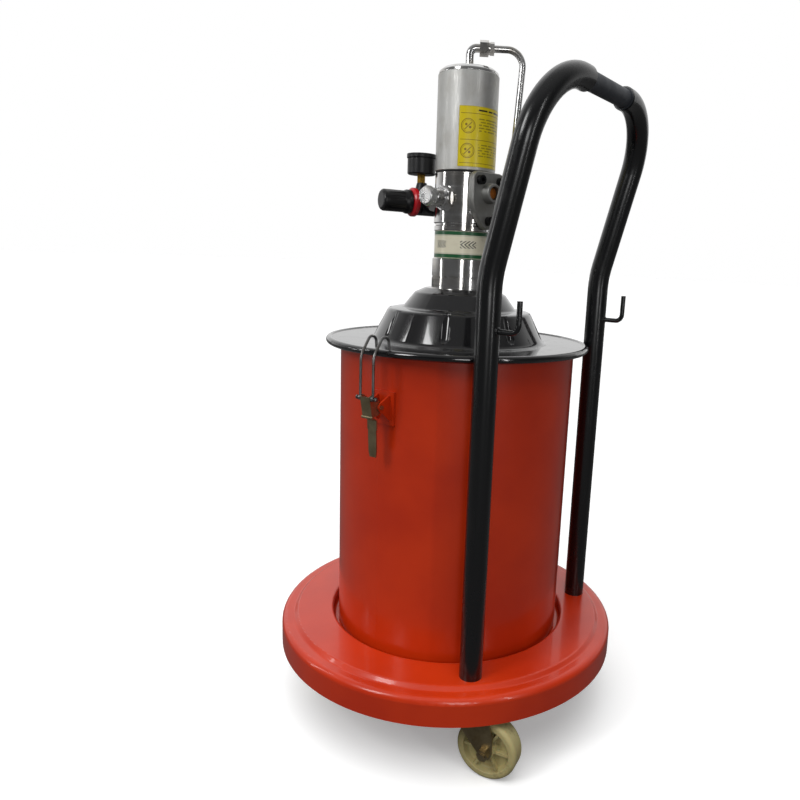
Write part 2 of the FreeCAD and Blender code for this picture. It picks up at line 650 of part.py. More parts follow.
def valve_cover():
    """Cover of the reversing valve, with the exhaust boss."""
    cover = cover_outline().extrude(Vector(COVER_DEPTH, 0, 0)).translated(Vector(COVER_SEAT, 0, 0))
    rim = [edge for edge in cover.Edges if edge.BoundBox.XMin > COVER_SEAT + COVER_DEPTH - 0.1]
    cover = cover.makeFillet(1.8, rim)
    face = COVER_SEAT + COVER_DEPTH
    boss = laid(spun([(0, face - 1), (13, face - 1), (11.2, face + 10), (0, face + 10)], [0, 0, 1.2, 0]))
    cover = fuse(cover, boss.translated(Vector(0, 0, COVER_BOSS_HEIGHT)))
    cover = cover.cut(laid(cylinder(8.2, COVER_SEAT - 1, face + 20)).translated(Vector(0, 0, COVER_BOSS_HEIGHT)))
    for y, z in COVER_SCREWS:
        cover = cover.cut(Part.makeCylinder(3.0, 30, Vector(COVER_SEAT - 5, y, z), X_AXIS))
    return facing(cover, COVER_BEARING)


def cover_screws():
    """Socket-head screws of the valve cover."""
    face = COVER_SEAT + COVER_DEPTH
    solids = []
    for y, z in COVER_SCREWS:
        screw = fuse(cylinder(3.0, face - 18, face + 1), cylinder(5.6, face, face + 6))
        screw = screw.cut(hexagon(5, face + 2.5, face + 7))
        solids.append(facing(laid(screw).translated(Vector(0, y, z)), COVER_BEARING))
    return Part.makeCompound(solids)


def silencer():
    """Sintered bronze insert in the exhaust boss."""
    face = COVER_SEAT + COVER_DEPTH
    plug = spun([(0, COVER_SEAT + 1), (8.2, COVER_SEAT + 1), (8.2, face + 2), (6.4, face + 6), (0, face + 7.5)],
                [0, 0, 1, 2, 0])
    return facing(laid(plug).translated(Vector(0, 0, COVER_BOSS_HEIGHT)), COVER_BEARING)


def motor_gasket():
    return ring(BODY_RADIUS - 0.6, 26, BODY_TOP, motor_low)


def air_cylinder():
    tube = ring(CYLINDER_RADIUS, CYLINDER_BORE, motor_low, CYLINDER_TOP)
    edges = [edge for edge in tube.Edges if len(edge.Vertexes) == 1 and edge.BoundBox.XMax > CYLINDER_RADIUS - 0.1]
    return tube.makeChamfer(0.6, edges)


def top_cap():
    top = CYLINDER_TOP + CAP_HEIGHT
    outline = [(0, CYLINDER_TOP - 8), (CYLINDER_BORE - RUN, CYLINDER_TOP - 8), (CYLINDER_BORE - RUN, CYLINDER_TOP),
               (CYLINDER_RADIUS - 0.6, CYLINDER_TOP), (CYLINDER_RADIUS - 1.2, CYLINDER_TOP + 3.5),
               (CYLINDER_RADIUS - 6, top), (0, top)]
    cap = spun(outline, [0, 1, 0, 0.6, 1.5, 2.5, 0])
    return cap.cut(cylinder(5.0, CYLINDER_TOP - 10, top + 1))


def elbow():
    """Elbow fitting in the middle of the cap, turned towards the air pipe."""
    points = [Vector(0, 0, CYLINDER_TOP - 2), Vector(0, 0, PIPE_HEIGHT), Vector(12, 0, PIPE_HEIGHT)]
    foot = hexagon(14, CYLINDER_TOP + CAP_HEIGHT, CYLINDER_TOP + CAP_HEIGHT + 5)
    shape = fuse(bar(points, [8.0], 5.0), foot)
    shape = shape.cut(bar(points, [8.0], 3.0))
    return facing(shape, PIPE_BEARING)


def pipe_nut():
    """Compression nut and its back nut, round the elbow's end and the pipe."""
    nut = fuse(hexagon(17, 12, 23), cylinder(7.2, 23, 25), hexagon(14, 25, 30))
    nut = nut.cut(cylinder(PIPE_RADIUS, 11, 31))
    return facing(laid(nut), PIPE_BEARING, height=PIPE_HEIGHT)


def air_pipe():
    points = [Vector(12, 0, PIPE_HEIGHT), Vector(PIPE_OUT, 0, PIPE_HEIGHT),
              Vector(PIPE_FOOT_OUT, 0, PIPE_FOOT_HEIGHT), Vector(BODY_RADIUS + 6, 0, PIPE_FOOT_HEIGHT)]
    return facing(bar(points, [20.0, 10.0], PIPE_RADIUS, PIPE_RADIUS - 1.2), PIPE_BEARING)


def pipe_socket():
    """Fitting on the valve body that takes the lower end of the air pipe."""
    start = BODY_RADIUS + 2
    socket = hexagon(15, start, start + 7).fuse(cylinder(PIPE_RADIUS + 1, start - 11, start + 1))
    socket = socket.cut(cylinder(PIPE_RADIUS, start + 4, start + 10)).cut(cylinder(3.0, start - 12, start + 10))
    return facing(laid(socket), PIPE_BEARING, height=PIPE_FOOT_HEIGHT)


def relief_valve():
    start = BODY_RADIUS + 2
    valve = fuse(cylinder(8, start - 10, start), hexagon(26, start, start + 6.5),
                 spun([(0, start + 6), (12.4, start + 6), (12.4, start + 8.5), (10.6, start + 9.5),
                       (10.6, start + 22), (0, start + 22)], [0, 0, 0.8, 0.8, 1, 0]))
    return facing(laid(valve), RELIEF_BEARING, height=RELIEF_HEIGHT)


def relief_cap():
    start = BODY_RADIUS + 24
    cap = fuse(cylinder(9.4, start, start + 2),
               hexagon(21, start + 2, start + 13).common(
                   spun([(0, start + 2), (12.5, start + 2), (12.5, start + 10.5), (9.5, start + 13), (0, start + 13)])))
    return facing(laid(cap), RELIEF_BEARING, height=RELIEF_HEIGHT)


# ---------------------------------------------------------------- regulator and gauge

def at_regulator(shape):
    """Places a shape built round the regulator's centre: knob along +X, pump port along +Y, gauge up."""
    angle = math.radians(REGULATOR_BEARING)
    place = (REGULATOR_OUT * math.sin(angle), -REGULATOR_OUT * math.cos(angle))
    return facing(shape, KNOB_BEARING, place[0], place[1], REGULATOR_HEIGHT)


def along_port(shape):
    """Turns a shape built up along +Z so that it points along the pump port, +Y."""
    return shape.rotated(ORIGIN, X_AXIS, -90)


def regulator_body():
    barrel = laid(spun([(0, -19), (13, -19), (16.5, -15), (16.5, 15), (0, 15)], [0, 2, 2, 1, 0]))
    block = box((-11, 11), (-16, 16), (-14, 14))
    ports = along_port(cylinder(9.5, -19, 19))
    gauge_boss = spun([(0, 0), (9, 0), (9, 16), (6.5, 25.5), (0, 25.5)], [0, 0, 2, 1, 0])
    body = fuse(barrel, block, ports, gauge_boss.translated(Vector(GAUGE_OFFSET - 1, 0, 0)))
    body = body.cut(along_port(cylinder(6.6, 10, 25))).cut(along_port(cylinder(6.6, -25, -10)))
    body = body.cut(cylinder(4.5, 18, 30, GAUGE_OFFSET, 0))
    return at_regulator(body)


def bonnet_ring():
    """Red ring under the knob, with the threaded neck that the knob turns on."""
    shape = spun([(0, 15), (RING_RADIUS - 0.8, 15), (RING_RADIUS, 16), (RING_RADIUS, 20.5), (RING_RADIUS - 2.5, 23),
                  (9, 23), (9, 44), (0, 44)], [0, 0.3, 0.5, 1.2, 1.2, 0, 0.5, 0])
    return at_regulator(laid(shape))


def regulator_knob():
    start = 23 + GAP
    outline = [(9 + GAP, start), (KNOB_RADIUS + 1.6, start), (KNOB_RADIUS + 1.6, start + 5), (KNOB_RADIUS, start + 9),
               (KNOB_RADIUS, KNOB_END), (0, KNOB_END), (0, 44 + GAP), (9 + GAP, 44 + GAP)]
    knob = spun(outline, [0, 1, 1.5, 1, 4.5, 0, 0, 0])
    for i in range(16):
        groove = box((KNOB_RADIUS - 0.5, KNOB_RADIUS + 3), (-0.5, 0.5), (start + 10, KNOB_END - 8))
        knob = knob.cut(groove.rotated(ORIGIN, Z_AXIS, 22.5 * i))
    return at_regulator(laid(knob))


def regulator_nipple():
    """Hexagon nipple between the regulator and the valve body's inlet boss."""
    nipple = fuse(cylinder(6.6, 11, 37), hexagon(17, 19, 24.5)).cut(cylinder(4, 9, 39))
    return at_regulator(along_port(nipple))


def air_plug():
    """Quick-connect plug for the air hose, on the regulator's inlet."""
    outline = [(3.5, 12), (6.6, 12), (6.6, 19), (9, 19), (9, 26), (6, 27.5), (6, 33), (4.8, 35), (4.8, 39),
               (6, 41), (6, 46), (4.6, 50), (3.5, 50)]
    plug = spun(outline).common(fuse(hexagon(16, 10, 27.5), cylinder(8, 10, 52)))
    return at_regulator(along_port(plug.mirror(ORIGIN, Z_AXIS)))


def gauge_case():
    """Round case, open at the top where the lens sits."""
    low, high = GAUGE_LOW, GAUGE_LOW + GAUGE_DEPTH
    outline = [(0, low), (GAUGE_RADIUS - 2.2, low), (GAUGE_RADIUS - 1.0, low + 1.5), (GAUGE_RADIUS - 1.0, high - 6),
               (GAUGE_RADIUS, high - 5), (GAUGE_RADIUS, high), (GAUGE_RADIUS - 1.6, high), (GAUGE_RADIUS - 1.6, high - 7),
               (0, high - 7)]
    return at_gauge(spun(outline, [0, 1, 1, 0.5, 0.5, 0.8, 0.3, 0, 0]))


def at_gauge(shape):
    centre = shape.translated(Vector(GAUGE_OFFSET, 0, -REGULATOR_HEIGHT))
    return at_regulator(centre)


def gauge_stem():
    low = REGULATOR_HEIGHT + 25.5
    stem = fuse(cylinder(4.5, low - 6, low), hexagon(10, low, GAUGE_LOW))
    return at_gauge(stem)


def gauge_pointer():
    high = GAUGE_LOW + GAUGE_DEPTH
    blade = Part.Face(Part.makePolygon([Vector(-5, -1.2, high - 6), Vector(13.5, -0.3, high - 6), Vector(13.5, 0.3, high - 6),
                                        Vector(-5, 1.2, high - 6), Vector(-5, -1.2, high - 6)])).extrude(Vector(0, 0, 0.8))
    pointer = fuse(blade, cylinder(2.2, high - 6.4, high - 4.6))
    return at_gauge(pointer.rotated(ORIGIN, Z_AXIS, 225))


def gauge_lens():
    high = GAUGE_LOW + GAUGE_DEPTH
    return at_gauge(cylinder(GAUGE_RADIUS - 1.6, high - 3, high - 1))


# ---------------------------------------------------------------- moving pieces inside, and the fluid end

def air_piston():
    high = PISTON_LOW + PISTON_DEPTH
    outline = [(5, PISTON_LOW), (CYLINDER_BORE - GAP, PISTON_LOW), (CYLINDER_BORE - GAP, PISTON_LOW + 6),
               (CYLINDER_BORE - 4, PISTON_LOW + 6), (CYLINDER_BORE - 4, high - 6), (CYLINDER_BORE - GAP, high - 6),
               (CYLINDER_BORE - GAP, high), (5, high)]
    return spun(outline, [0, 0.8, 0, 0, 0, 0, 0.8, 0])


def piston_seal():
    return ring(CYLINDER_BORE - RUN, CYLINDER_BORE - 4, PISTON_LOW + 6, PISTON_LOW + PISTON_DEPTH - 6)


def piston_rod():
    """Rod from the air piston to the plunger, riveted over at its top."""
    high = PISTON_LOW + PISTON_DEPTH
    return spun([(0, PLUNGER_LOW + 24), (5, PLUNGER_LOW + 24), (5, PLUNGER_LOW + 36), (ROD_RADIUS, PLUNGER_LOW + 38),
                 (ROD_RADIUS, PISTON_LOW), (5, PISTON_LOW), (5, high), (8, high), (8, high + 4), (0, high + 5)],
                [0, 0, 0, 0, 0, 0, 0, 0, 1, 0])


def plunger():
    """Plunger with the ball seat in its foot and slots above it."""
    low, high = PLUNGER_LOW, PLUNGER_LOW + 36
    body = spun([(5, low), (SUCTION_BORE - RUN, low), (SUCTION_BORE - RUN, low + 14), (12, low + 16), (12, high),
                 (5, high), (5, low + 24), (8.5, low + 24), (8.5, low + 7), (5, low + 4)])
    for i in range(2):
        slot = box((-20, 20), (-3, 3), (low + 17, low + 23))
        body = body.cut(slot.rotated(ORIGIN, Z_AXIS, 90 * i))
    return body


def plunger_ball():
    return Part.makeSphere(6.5, Vector(0, 0, PLUNGER_LOW + 8.75))


def spool():
    """Reversing spool with its two grooves."""
    low = NECK_TOP + 5
    high = low + SPOOL_LENGTH
    neck_radius = SPOOL_RADIUS - 2
    body = spun([(0, low), (SPOOL_RADIUS, low), (SPOOL_RADIUS, low + 8), (neck_radius, low + 8), (neck_radius, low + 16),
                 (SPOOL_RADIUS, low + 16), (SPOOL_RADIUS, low + 24), (neck_radius, low + 24), (neck_radius, low + 32),
                 (SPOOL_RADIUS, low + 32), (SPOOL_RADIUS, high), (0, high)])
    return facing(body.translated(Vector(SPOOL_OUT, 0, 0)), COVER_BEARING)


def suction_tube():
    tube = ring(SUCTION_RADIUS, SUCTION_BORE, SUCTION_LOW, neck_low - 12)
    port = Part.makeCylinder(4, 60, Vector(0, -30, neck_low - 20), Y_AXIS)
    return tube.cut(port)


def foot_valve():
    """Foot with the ball seat, a cage above it and strainer holes below."""
    low = SUCTION_LOW - 16
    body = spun([(6, low), (SUCTION_RADIUS, low), (SUCTION_RADIUS, SUCTION_LOW), (SUCTION_BORE, SUCTION_LOW),
                 (SUCTION_BORE, SUCTION_LOW + 22), (14, SUCTION_LOW + 22), (14, SUCTION_LOW + 2), (7, SUCTION_LOW - 4),
                 (7, low + 6), (6, low + 5)])
    for i in range(3):
        hole = laid(cylinder(2.5, -30, 30)).translated(Vector(0, 0, low + 5))
        body = body.cut(hole.rotated(ORIGIN, Z_AXIS, 60 * i))
    cage = box((-15, 15), (-1.5, 1.5), (SUCTION_LOW + 19, SUCTION_LOW + 22))
    return fuse(body, cage)


def foot_ball():
    return Part.makeSphere(9.5, Vector(0, 0, SUCTION_LOW + 3.0))


# ---------------------------------------------------------------- writing the pieces

def pieces():
    yield "base_tray", base_tray()
    yield "drum", drum()
    yield "drum_bolts", drum_bolts()
    yield "caster_stems", caster_stems()
    yield "stem_nuts", stem_nuts()
    fork = Part.makeCompound([caster_fork()] + caster_axle().Solids)
    parts = {"fork": fork, "wheel": caster_wheel()}
    for number, ((x, y), heading) in enumerate(zip(post_places, CASTER_HEADINGS), 1):
        for kind, shape in parts.items():
            yield f"caster_{kind}_{number}", facing(shape, heading, x, y)
    tube, hook = handle_tube(), hose_hook()
    yield "handle_tube_right", tube
    yield "handle_tube_left", mirrored(tube)
    yield "hose_hooks", Part.makeCompound([hook, mirrored(hook)])
    yield "handle_bar", handle_bar()
    yield "lid", lid()
    yield "lid_gasket", ring(DRUM_RADIUS + RIM_WIDTH, DRUM_RADIUS - 3, drum_top, lid_under)
    yield "lid_lock_ring", lid_lock_ring()
    brackets = [facing(latch_bracket(), bearing) for bearing in LATCH_BEARINGS]
    yield "latch_brackets", Part.makeCompound(brackets)
    pins = [facing(latch_pin(), bearing) for bearing in LATCH_BEARINGS]
    yield "latch_pins", Part.makeCompound(pins)
    lever, bail = latch_lever(), latch_bail()
    for side, bearing in zip(("right", "left"), LATCH_BEARINGS):
        yield f"latch_lever_{side}", facing(lever, bearing)
        yield f"latch_bail_{side}", facing(bail, bearing)
    for make in (neck, rod_packing, outlet_fitting, valve_body, valve_cover, cover_screws, silencer, motor_gasket,
                 air_cylinder, top_cap, elbow, pipe_nut, air_pipe, pipe_socket, relief_valve, relief_cap,
                 regulator_body, bonnet_ring, regulator_knob, regulator_nipple, air_plug, gauge_case, gauge_stem,
                 gauge_pointer, gauge_lens, air_piston, piston_seal, piston_rod, plunger, plunger_ball, spool,
                 suction_tube, foot_valve, foot_ball):
        yield make.__name__, make()


os.makedirs("parts", exist_ok=True)
for name, shape in pieces():
    if not shape.isValid() or shape.Volume <= 0:
        print("BAD", name, shape.isValid(), shape.Volume)
    shape.exportStep(os.path.join("parts", name + ".step"))
    print(f"{name:20s} {len(shape.Solids):3d} solids {shape.Volume / 1000:9.1f} cm3")
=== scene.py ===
# %% [markdown]
# # A drum pump for gear oil, on its trolley
# The machine is a steel drum with a pressed lid, an air-driven pump that stands on the lid, and a round
# trolley with a push handle. The shapes that were designed in CAD come in first and stay where they are.
# This file gives them their finishes, adds the pieces that are too thin or too soft-edged for CAD, such as
# the printed labels, and then sets up the camera and the light.

# %% Load the frame
import math
import bpy
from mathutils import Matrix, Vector


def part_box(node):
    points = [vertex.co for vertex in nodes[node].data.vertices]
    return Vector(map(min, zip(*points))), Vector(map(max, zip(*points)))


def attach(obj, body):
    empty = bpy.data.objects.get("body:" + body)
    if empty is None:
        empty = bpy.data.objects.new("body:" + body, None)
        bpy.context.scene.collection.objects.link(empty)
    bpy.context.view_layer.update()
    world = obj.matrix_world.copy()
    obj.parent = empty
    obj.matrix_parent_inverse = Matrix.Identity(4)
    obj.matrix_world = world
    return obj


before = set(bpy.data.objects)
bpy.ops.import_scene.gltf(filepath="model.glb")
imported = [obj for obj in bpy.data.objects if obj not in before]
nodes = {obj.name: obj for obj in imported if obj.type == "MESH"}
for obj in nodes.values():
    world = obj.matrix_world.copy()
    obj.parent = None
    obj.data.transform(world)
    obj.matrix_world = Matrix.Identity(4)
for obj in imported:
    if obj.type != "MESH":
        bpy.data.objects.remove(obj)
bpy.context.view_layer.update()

# %% [markdown]
# ## Working as by hand
# Blender's operators act on whatever is selected, so every step begins by clearing the selection. These
# small helpers do the repeated part of hand work: add a start shape, pick its faces or edges by their place,
# and close the edit. A picked place is a rule about a point, such as "all edges above 10 mm".

# %% Helpers for hand work
def clear_selection():
    """Leaves edit mode and deselects everything."""
    if bpy.context.object and bpy.context.object.mode != "OBJECT":
        bpy.ops.object.mode_set(mode="OBJECT")
    bpy.ops.object.select_all(action="DESELECT")


def begin(name):
    """Names the shape that was just added and opens it for editing with nothing selected."""
    piece = bpy.context.object
    piece.name = name
    bpy.ops.object.transform_apply(location=True, rotation=True, scale=True)
    bpy.ops.object.mode_set(mode="EDIT")
    bpy.ops.mesh.select_all(action="DESELECT")
    return piece


def pick(piece, kind, rule):
    """Selects the vertices, edges or faces whose middle passes the rule."""
    bpy.ops.mesh.select_all(action="DESELECT")
    bpy.ops.object.mode_set(mode="OBJECT")
    mesh = piece.data
    if kind == "VERT":
        for item in mesh.vertices:
            item.select = rule(item.co)
    elif kind == "EDGE":
        for item in mesh.edges:
            one, two = (mesh.vertices[i].co for i in item.vertices)
            item.select = rule((one + two) / 2)
    else:
        for item in mesh.polygons:
            item.select = rule(item.center)
    bpy.ops.object.mode_set(mode="EDIT")
    bpy.ops.mesh.select_mode(type=kind)


def close_edit(piece, body, finish, smooth=30):
    """Ends the edit, points the faces outwards and puts the piece on its body with its finish."""
    bpy.ops.mesh.select_all(action="SELECT")
    bpy.ops.mesh.normals_make_consistent(inside=False)
    bpy.ops.object.mode_set(mode="OBJECT")
    bpy.ops.object.shade_smooth_by_angle(angle=math.radians(smooth))
    piece.data.materials.clear()
    piece.data.materials.append(finish)
    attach(piece, body)
    print(piece.name, len(piece.data.polygons), "faces")


def apply_modifier(piece, kind, **settings):
    """Adds a modifier, sets it and applies it."""
    modifier = piece.modifiers.new(kind.title(), kind)
    for key, value in settings.items():
        setattr(modifier, key, value)
    bpy.ops.object.modifier_apply(modifier=modifier.name)

# %% [markdown]
# ## Building finishes from small shared effects
# A painted, plated or moulded surface is never one flat colour. What makes it look real repeats from finish
# to finish: slow changes of shade, fine grain, dust that settles on what faces up. Each of these is built
# once as a node group with named inputs, and each finish uses it with its own numbers. Object coordinates
# are in metres, so a noise scale of 1000 means grains about a millimetre across.

# %% Helpers for node groups
def new_group(name, inputs, outputs):
    """An empty shader group. Inputs are (name, kind, value) and outputs are (name, kind)."""
    group = bpy.data.node_groups.new(name, "ShaderNodeTree")
    for label, kind, value in inputs:
        socket = group.interface.new_socket(label, in_out="INPUT", socket_type=kind)
        socket.default_value = value
    for label, kind in outputs:
        group.interface.new_socket(label, in_out="OUTPUT", socket_type=kind)
    return group, group.nodes.new("NodeGroupInput"), group.nodes.new("NodeGroupOutput")


def add(tree, kind, settings=None, **links):
    """Adds a node. Settings are properties; links fill sockets, by name or _number, with a value or socket."""
    node = tree.nodes.new("ShaderNode" + kind)
    for key, value in (settings or {}).items():
        setattr(node, key, value)
    for key, value in links.items():
        place = int(key[1:]) if key[0] == "_" else key.replace("_", " ")
        if isinstance(value, bpy.types.NodeSocket):
            tree.links.new(value, node.inputs[place])
        else:
            node.inputs[place].default_value = value
    return node


def maths(tree, operation, one, two=0.0, clamp=False):
    """One step of arithmetic; returns its output."""
    return add(tree, "Math", {"operation": operation, "use_clamp": clamp}, _0=one, _1=two).outputs[0]


def ramp(tree, value, low, high, out_low=0.0, out_high=1.0):
    """Maps a value from one range to another with soft ends."""
    node = add(tree, "MapRange", {"interpolation_type": "SMOOTHSTEP"}, Value=value,
               From_Min=low, From_Max=high, To_Min=out_low, To_Max=out_high)
    return node.outputs["Result"]


def mix_colour(tree, factor, one, two, blend="MIX"):
    """Mixes two colours; returns the result."""
    node = add(tree, "Mix", {"data_type": "RGBA", "blend_type": blend}, _0=factor, _6=one, _7=two)
    return node.outputs[2]

# %% [markdown]
# ### Settled dust and handling marks
# Dust settles on what faces up, and hands and hoses leave dull smears. The group takes the surface's normal
# and a broad noise, and gives one mask for each. Both are kept faint, because this machine is new.

# %% Group: dust and smears
dust_group, into, out = new_group(
    "settled dust and smears",
    [("Dust", "NodeSocketFloat", 0.3), ("Smears", "NodeSocketFloat", 0.3), ("Size", "NodeSocketFloat", 12.0)],
    [("Dust", "NodeSocketFloat"), ("Smears", "NodeSocketFloat")])
place = add(dust_group, "TexCoord").outputs["Object"]
normal = add(dust_group, "NewGeometry").outputs["Normal"]
facing_up = add(dust_group, "SeparateXYZ", Vector=normal).outputs["Z"]
speckle = add(dust_group, "TexNoise", Vector=place, Scale=420.0, Detail=4.0, Roughness=0.7).outputs["Fac"]
drift = add(dust_group, "TexNoise", Vector=place, Scale=into.outputs["Size"], Detail=3.0).outputs["Fac"]
settled = maths(dust_group, "MULTIPLY", ramp(dust_group, facing_up, 0.3, 1.0),
                ramp(dust_group, speckle, 0.45, 0.75))
settled = maths(dust_group, "MULTIPLY", settled, ramp(dust_group, drift, 0.35, 0.65, 0.3, 1.0))
stretch = add(dust_group, "Mapping", Vector=place, Scale=(1.0, 1.0, 0.35)).outputs["Vector"]
streaks = add(dust_group, "TexNoise", Vector=stretch, Scale=38.0, Detail=5.0, Distortion=1.2).outputs["Fac"]
smeared = maths(dust_group, "MULTIPLY", ramp(dust_group, streaks, 0.5, 0.72), into.outputs["Smears"])
dust_group.links.new(maths(dust_group, "MULTIPLY", settled, into.outputs["Dust"]), out.inputs["Dust"])
dust_group.links.new(smeared, out.inputs["Smears"])
print("group", dust_group.name, len(dust_group.nodes), "nodes")

# %% [markdown]
# ### Sprayed paint
# Sprayed enamel levels out before it dries, but not quite: it keeps a faint waviness called orange peel,
# and its shade drifts a little with its thickness. The group gives a colour, a roughness and a height.

# %% Group: sprayed paint
paint_group, into, out = new_group(
    "sprayed paint",
    [("Colour", "NodeSocketColor", (0.8, 0.1, 0.05, 1.0)),
     ("Thin colour", "NodeSocketColor", (0.6, 0.1, 0.05, 1.0)),
     ("Roughness", "NodeSocketFloat", 0.2),
     ("Dust", "NodeSocketFloat", 0.3),
     ("Smears", "NodeSocketFloat", 0.3)],
    [("Colour", "NodeSocketColor"), ("Roughness", "NodeSocketFloat"), ("Height", "NodeSocketFloat")])
place = add(paint_group, "TexCoord").outputs["Object"]
drift = add(paint_group, "TexNoise", Vector=place, Scale=9.0, Detail=3.0).outputs["Fac"]
shade = mix_colour(paint_group, ramp(paint_group, drift, 0.3, 0.7),
                   into.outputs["Colour"], into.outputs["Thin colour"])
marks = add(paint_group, "Group", {"node_tree": dust_group},
            Dust=into.outputs["Dust"], Smears=into.outputs["Smears"])
dusty = mix_colour(paint_group, marks.outputs["Dust"], shade, (0.42, 0.38, 0.33, 1.0))
dull = maths(paint_group, "MULTIPLY", marks.outputs["Smears"], 0.25)
dull = maths(paint_group, "ADD", dull, maths(paint_group, "MULTIPLY", marks.outputs["Dust"], 0.5))
peel = add(paint_group, "TexNoise", Vector=place, Scale=310.0, Detail=1.0).outputs["Fac"]
wave = add(paint_group, "TexNoise", Vector=place, Scale=45.0, Detail=1.0).outputs["Fac"]
height = maths(paint_group, "ADD", maths(paint_group, "MULTIPLY", peel, 0.25), wave)
paint_group.links.new(dusty, out.inputs["Colour"])
rough = maths(paint_group, "ADD", into.outputs["Roughness"], dull, True)
paint_group.links.new(rough, out.inputs["Roughness"])
paint_group.links.new(height, out.inputs["Height"])
print("group", paint_group.name, len(paint_group.nodes), "nodes")

# %% [markdown]
# ### Bare and plated metal
# Turned pieces keep the fine rings of the cutting tool, and plating follows them. The rings are a noise that
# is squeezed along one direction: the Lines input is the scale on each axis, so a high third number gives
# rings round an upright piece. Tarnish is a broad noise that warms and darkens the colour a little.

# %% Group: worked metal
metal_group, into, out = new_group(
    "worked metal",
    [("Colour", "NodeSocketColor", (0.7, 0.7, 0.7, 1.0)),
     ("Tarnish", "NodeSocketColor", (0.5, 0.45, 0.4, 1.0)),
     ("Lines", "NodeSocketVector", (20.0, 20.0, 900.0)),
     ("Roughness", "NodeSocketFloat", 0.2),
     ("Spread", "NodeSocketFloat", 0.15),
     ("Dust", "NodeSocketFloat", 0.2),
     ("Smears", "NodeSocketFloat", 0.4)],
    [("Colour", "NodeSocketColor"), ("Roughness", "NodeSocketFloat"), ("Height", "NodeSocketFloat")])
place = add(metal_group, "TexCoord").outputs["Object"]
squeezed = add(metal_group, "Mapping", {"vector_type": "POINT"}, Vector=place, Scale=into.outputs["Lines"])
drawn = add(metal_group, "TexNoise", Vector=squeezed.outputs["Vector"], Scale=1.0, Detail=4.0, Roughness=0.6)
lines = drawn.outputs["Fac"]
age = add(metal_group, "TexNoise", Vector=place, Scale=30.0, Detail=5.0, Roughness=0.6).outputs["Fac"]
shade = mix_colour(metal_group, ramp(metal_group, age, 0.4, 0.75),
                   into.outputs["Colour"], into.outputs["Tarnish"])
marks = add(metal_group, "Group", {"node_tree": dust_group},
            Dust=into.outputs["Dust"], Smears=into.outputs["Smears"])
shade = mix_colour(metal_group, marks.outputs["Dust"], shade, (0.40, 0.37, 0.32, 1.0))
rough = maths(metal_group, "ADD", into.outputs["Roughness"],
              maths(metal_group, "MULTIPLY", ramp(metal_group, lines, 0.3, 0.7), into.outputs["Spread"]))
rough = maths(metal_group, "ADD", rough, maths(metal_group, "MULTIPLY", marks.outputs["Smears"], 0.25), True)
metal_group.links.new(shade, out.inputs["Colour"])
metal_group.links.new(rough, out.inputs["Roughness"])
metal_group.links.new(lines, out.inputs["Height"])
print("group", metal_group.name, len(metal_group.nodes), "nodes")

# %% [markdown]
# ### Moulded plastic and rubber
# A moulded piece copies the spark-eroded texture of its mould: small rounded grains. Its colour is even,
# with scuffs that turn it paler. The same group serves the knob, the gauge case, the wheels and the seals.

# %% Group: moulded skin
mould_group, into, out = new_group(
    "moulded skin",
    [("Colour", "NodeSocketColor", (0.02, 0.02, 0.02, 1.0)),
     ("Scuffed", "NodeSocketColor", (0.1, 0.1, 0.1, 1.0)),
     ("Grain", "NodeSocketFloat", 1400.0),
     ("Roughness", "NodeSocketFloat", 0.45),
     ("Scuffs", "NodeSocketFloat", 0.4),
     ("Dust", "NodeSocketFloat", 0.4)],
    [("Colour", "NodeSocketColor"), ("Roughness", "NodeSocketFloat"), ("Height", "NodeSocketFloat")])
place = add(mould_group, "TexCoord").outputs["Object"]
pebbles = add(mould_group, "TexVoronoi", {"feature": "SMOOTH_F1"}, Vector=place, Scale=into.outputs["Grain"])
grain = pebbles.outputs["Distance"]
worn = add(mould_group, "TexNoise", Vector=place, Scale=75.0, Detail=6.0, Roughness=0.65).outputs["Fac"]
worn = maths(mould_group, "MULTIPLY", ramp(mould_group, worn, 0.5, 0.75), into.outputs["Scuffs"])
shade = mix_colour(mould_group, worn, into.outputs["Colour"], into.outputs["Scuffed"])
marks = add(mould_group, "Group", {"node_tree": dust_group}, Dust=into.outputs["Dust"], Smears=0.4)
shade = mix_colour(mould_group, marks.outputs["Dust"], shade, (0.36, 0.33, 0.29, 1.0))
dull = maths(mould_group, "MULTIPLY", marks.outputs["Smears"], 0.2)
rough = maths(mould_group, "ADD", into.outputs["Roughness"], dull, True)
mould_group.links.new(shade, out.inputs["Colour"])
mould_group.links.new(rough, out.inputs["Roughness"])
mould_group.links.new(grain, out.inputs["Height"])
print("group", mould_group.name, len(mould_group.nodes), "nodes")

# %% [markdown]
# ### From a group to a finish
# A finish is one material: the shared group with this finish's numbers, a bump made from its height, and
# the Principled shader. Numbers that are the same all over, such as metallic and coat, go straight on the
# shader.

# %% Helper: a finish
def finish(name, group, effect, bump=0.1, bump_depth=0.0002, **shader):
    """A material from one shared group. Effect fills the group's inputs and shader the Principled's own."""
    material = bpy.data.materials.new(name)
    material.use_nodes = True
    tree = material.node_tree
    principled = tree.nodes["Principled BSDF"]
    effect = {key.replace("_", " "): value for key, value in effect.items()}
    skin = add(tree, "Group", {"node_tree": group})
    for key, value in effect.items():
        skin.inputs[key].default_value = value
    relief = add(tree, "Bump", Height=skin.outputs["Height"], Strength=bump, Distance=bump_depth)
    tree.links.new(skin.outputs["Colour"], principled.inputs["Base Color"])
    tree.links.new(skin.outputs["Roughness"], principled.inputs["Roughness"])
    tree.links.new(relief.outputs["Normal"], principled.inputs["Normal"])
    for key, value in shader.items():
        principled.inputs[key.replace("_", " ")].default_value = value
    print("finish", name)
    return material


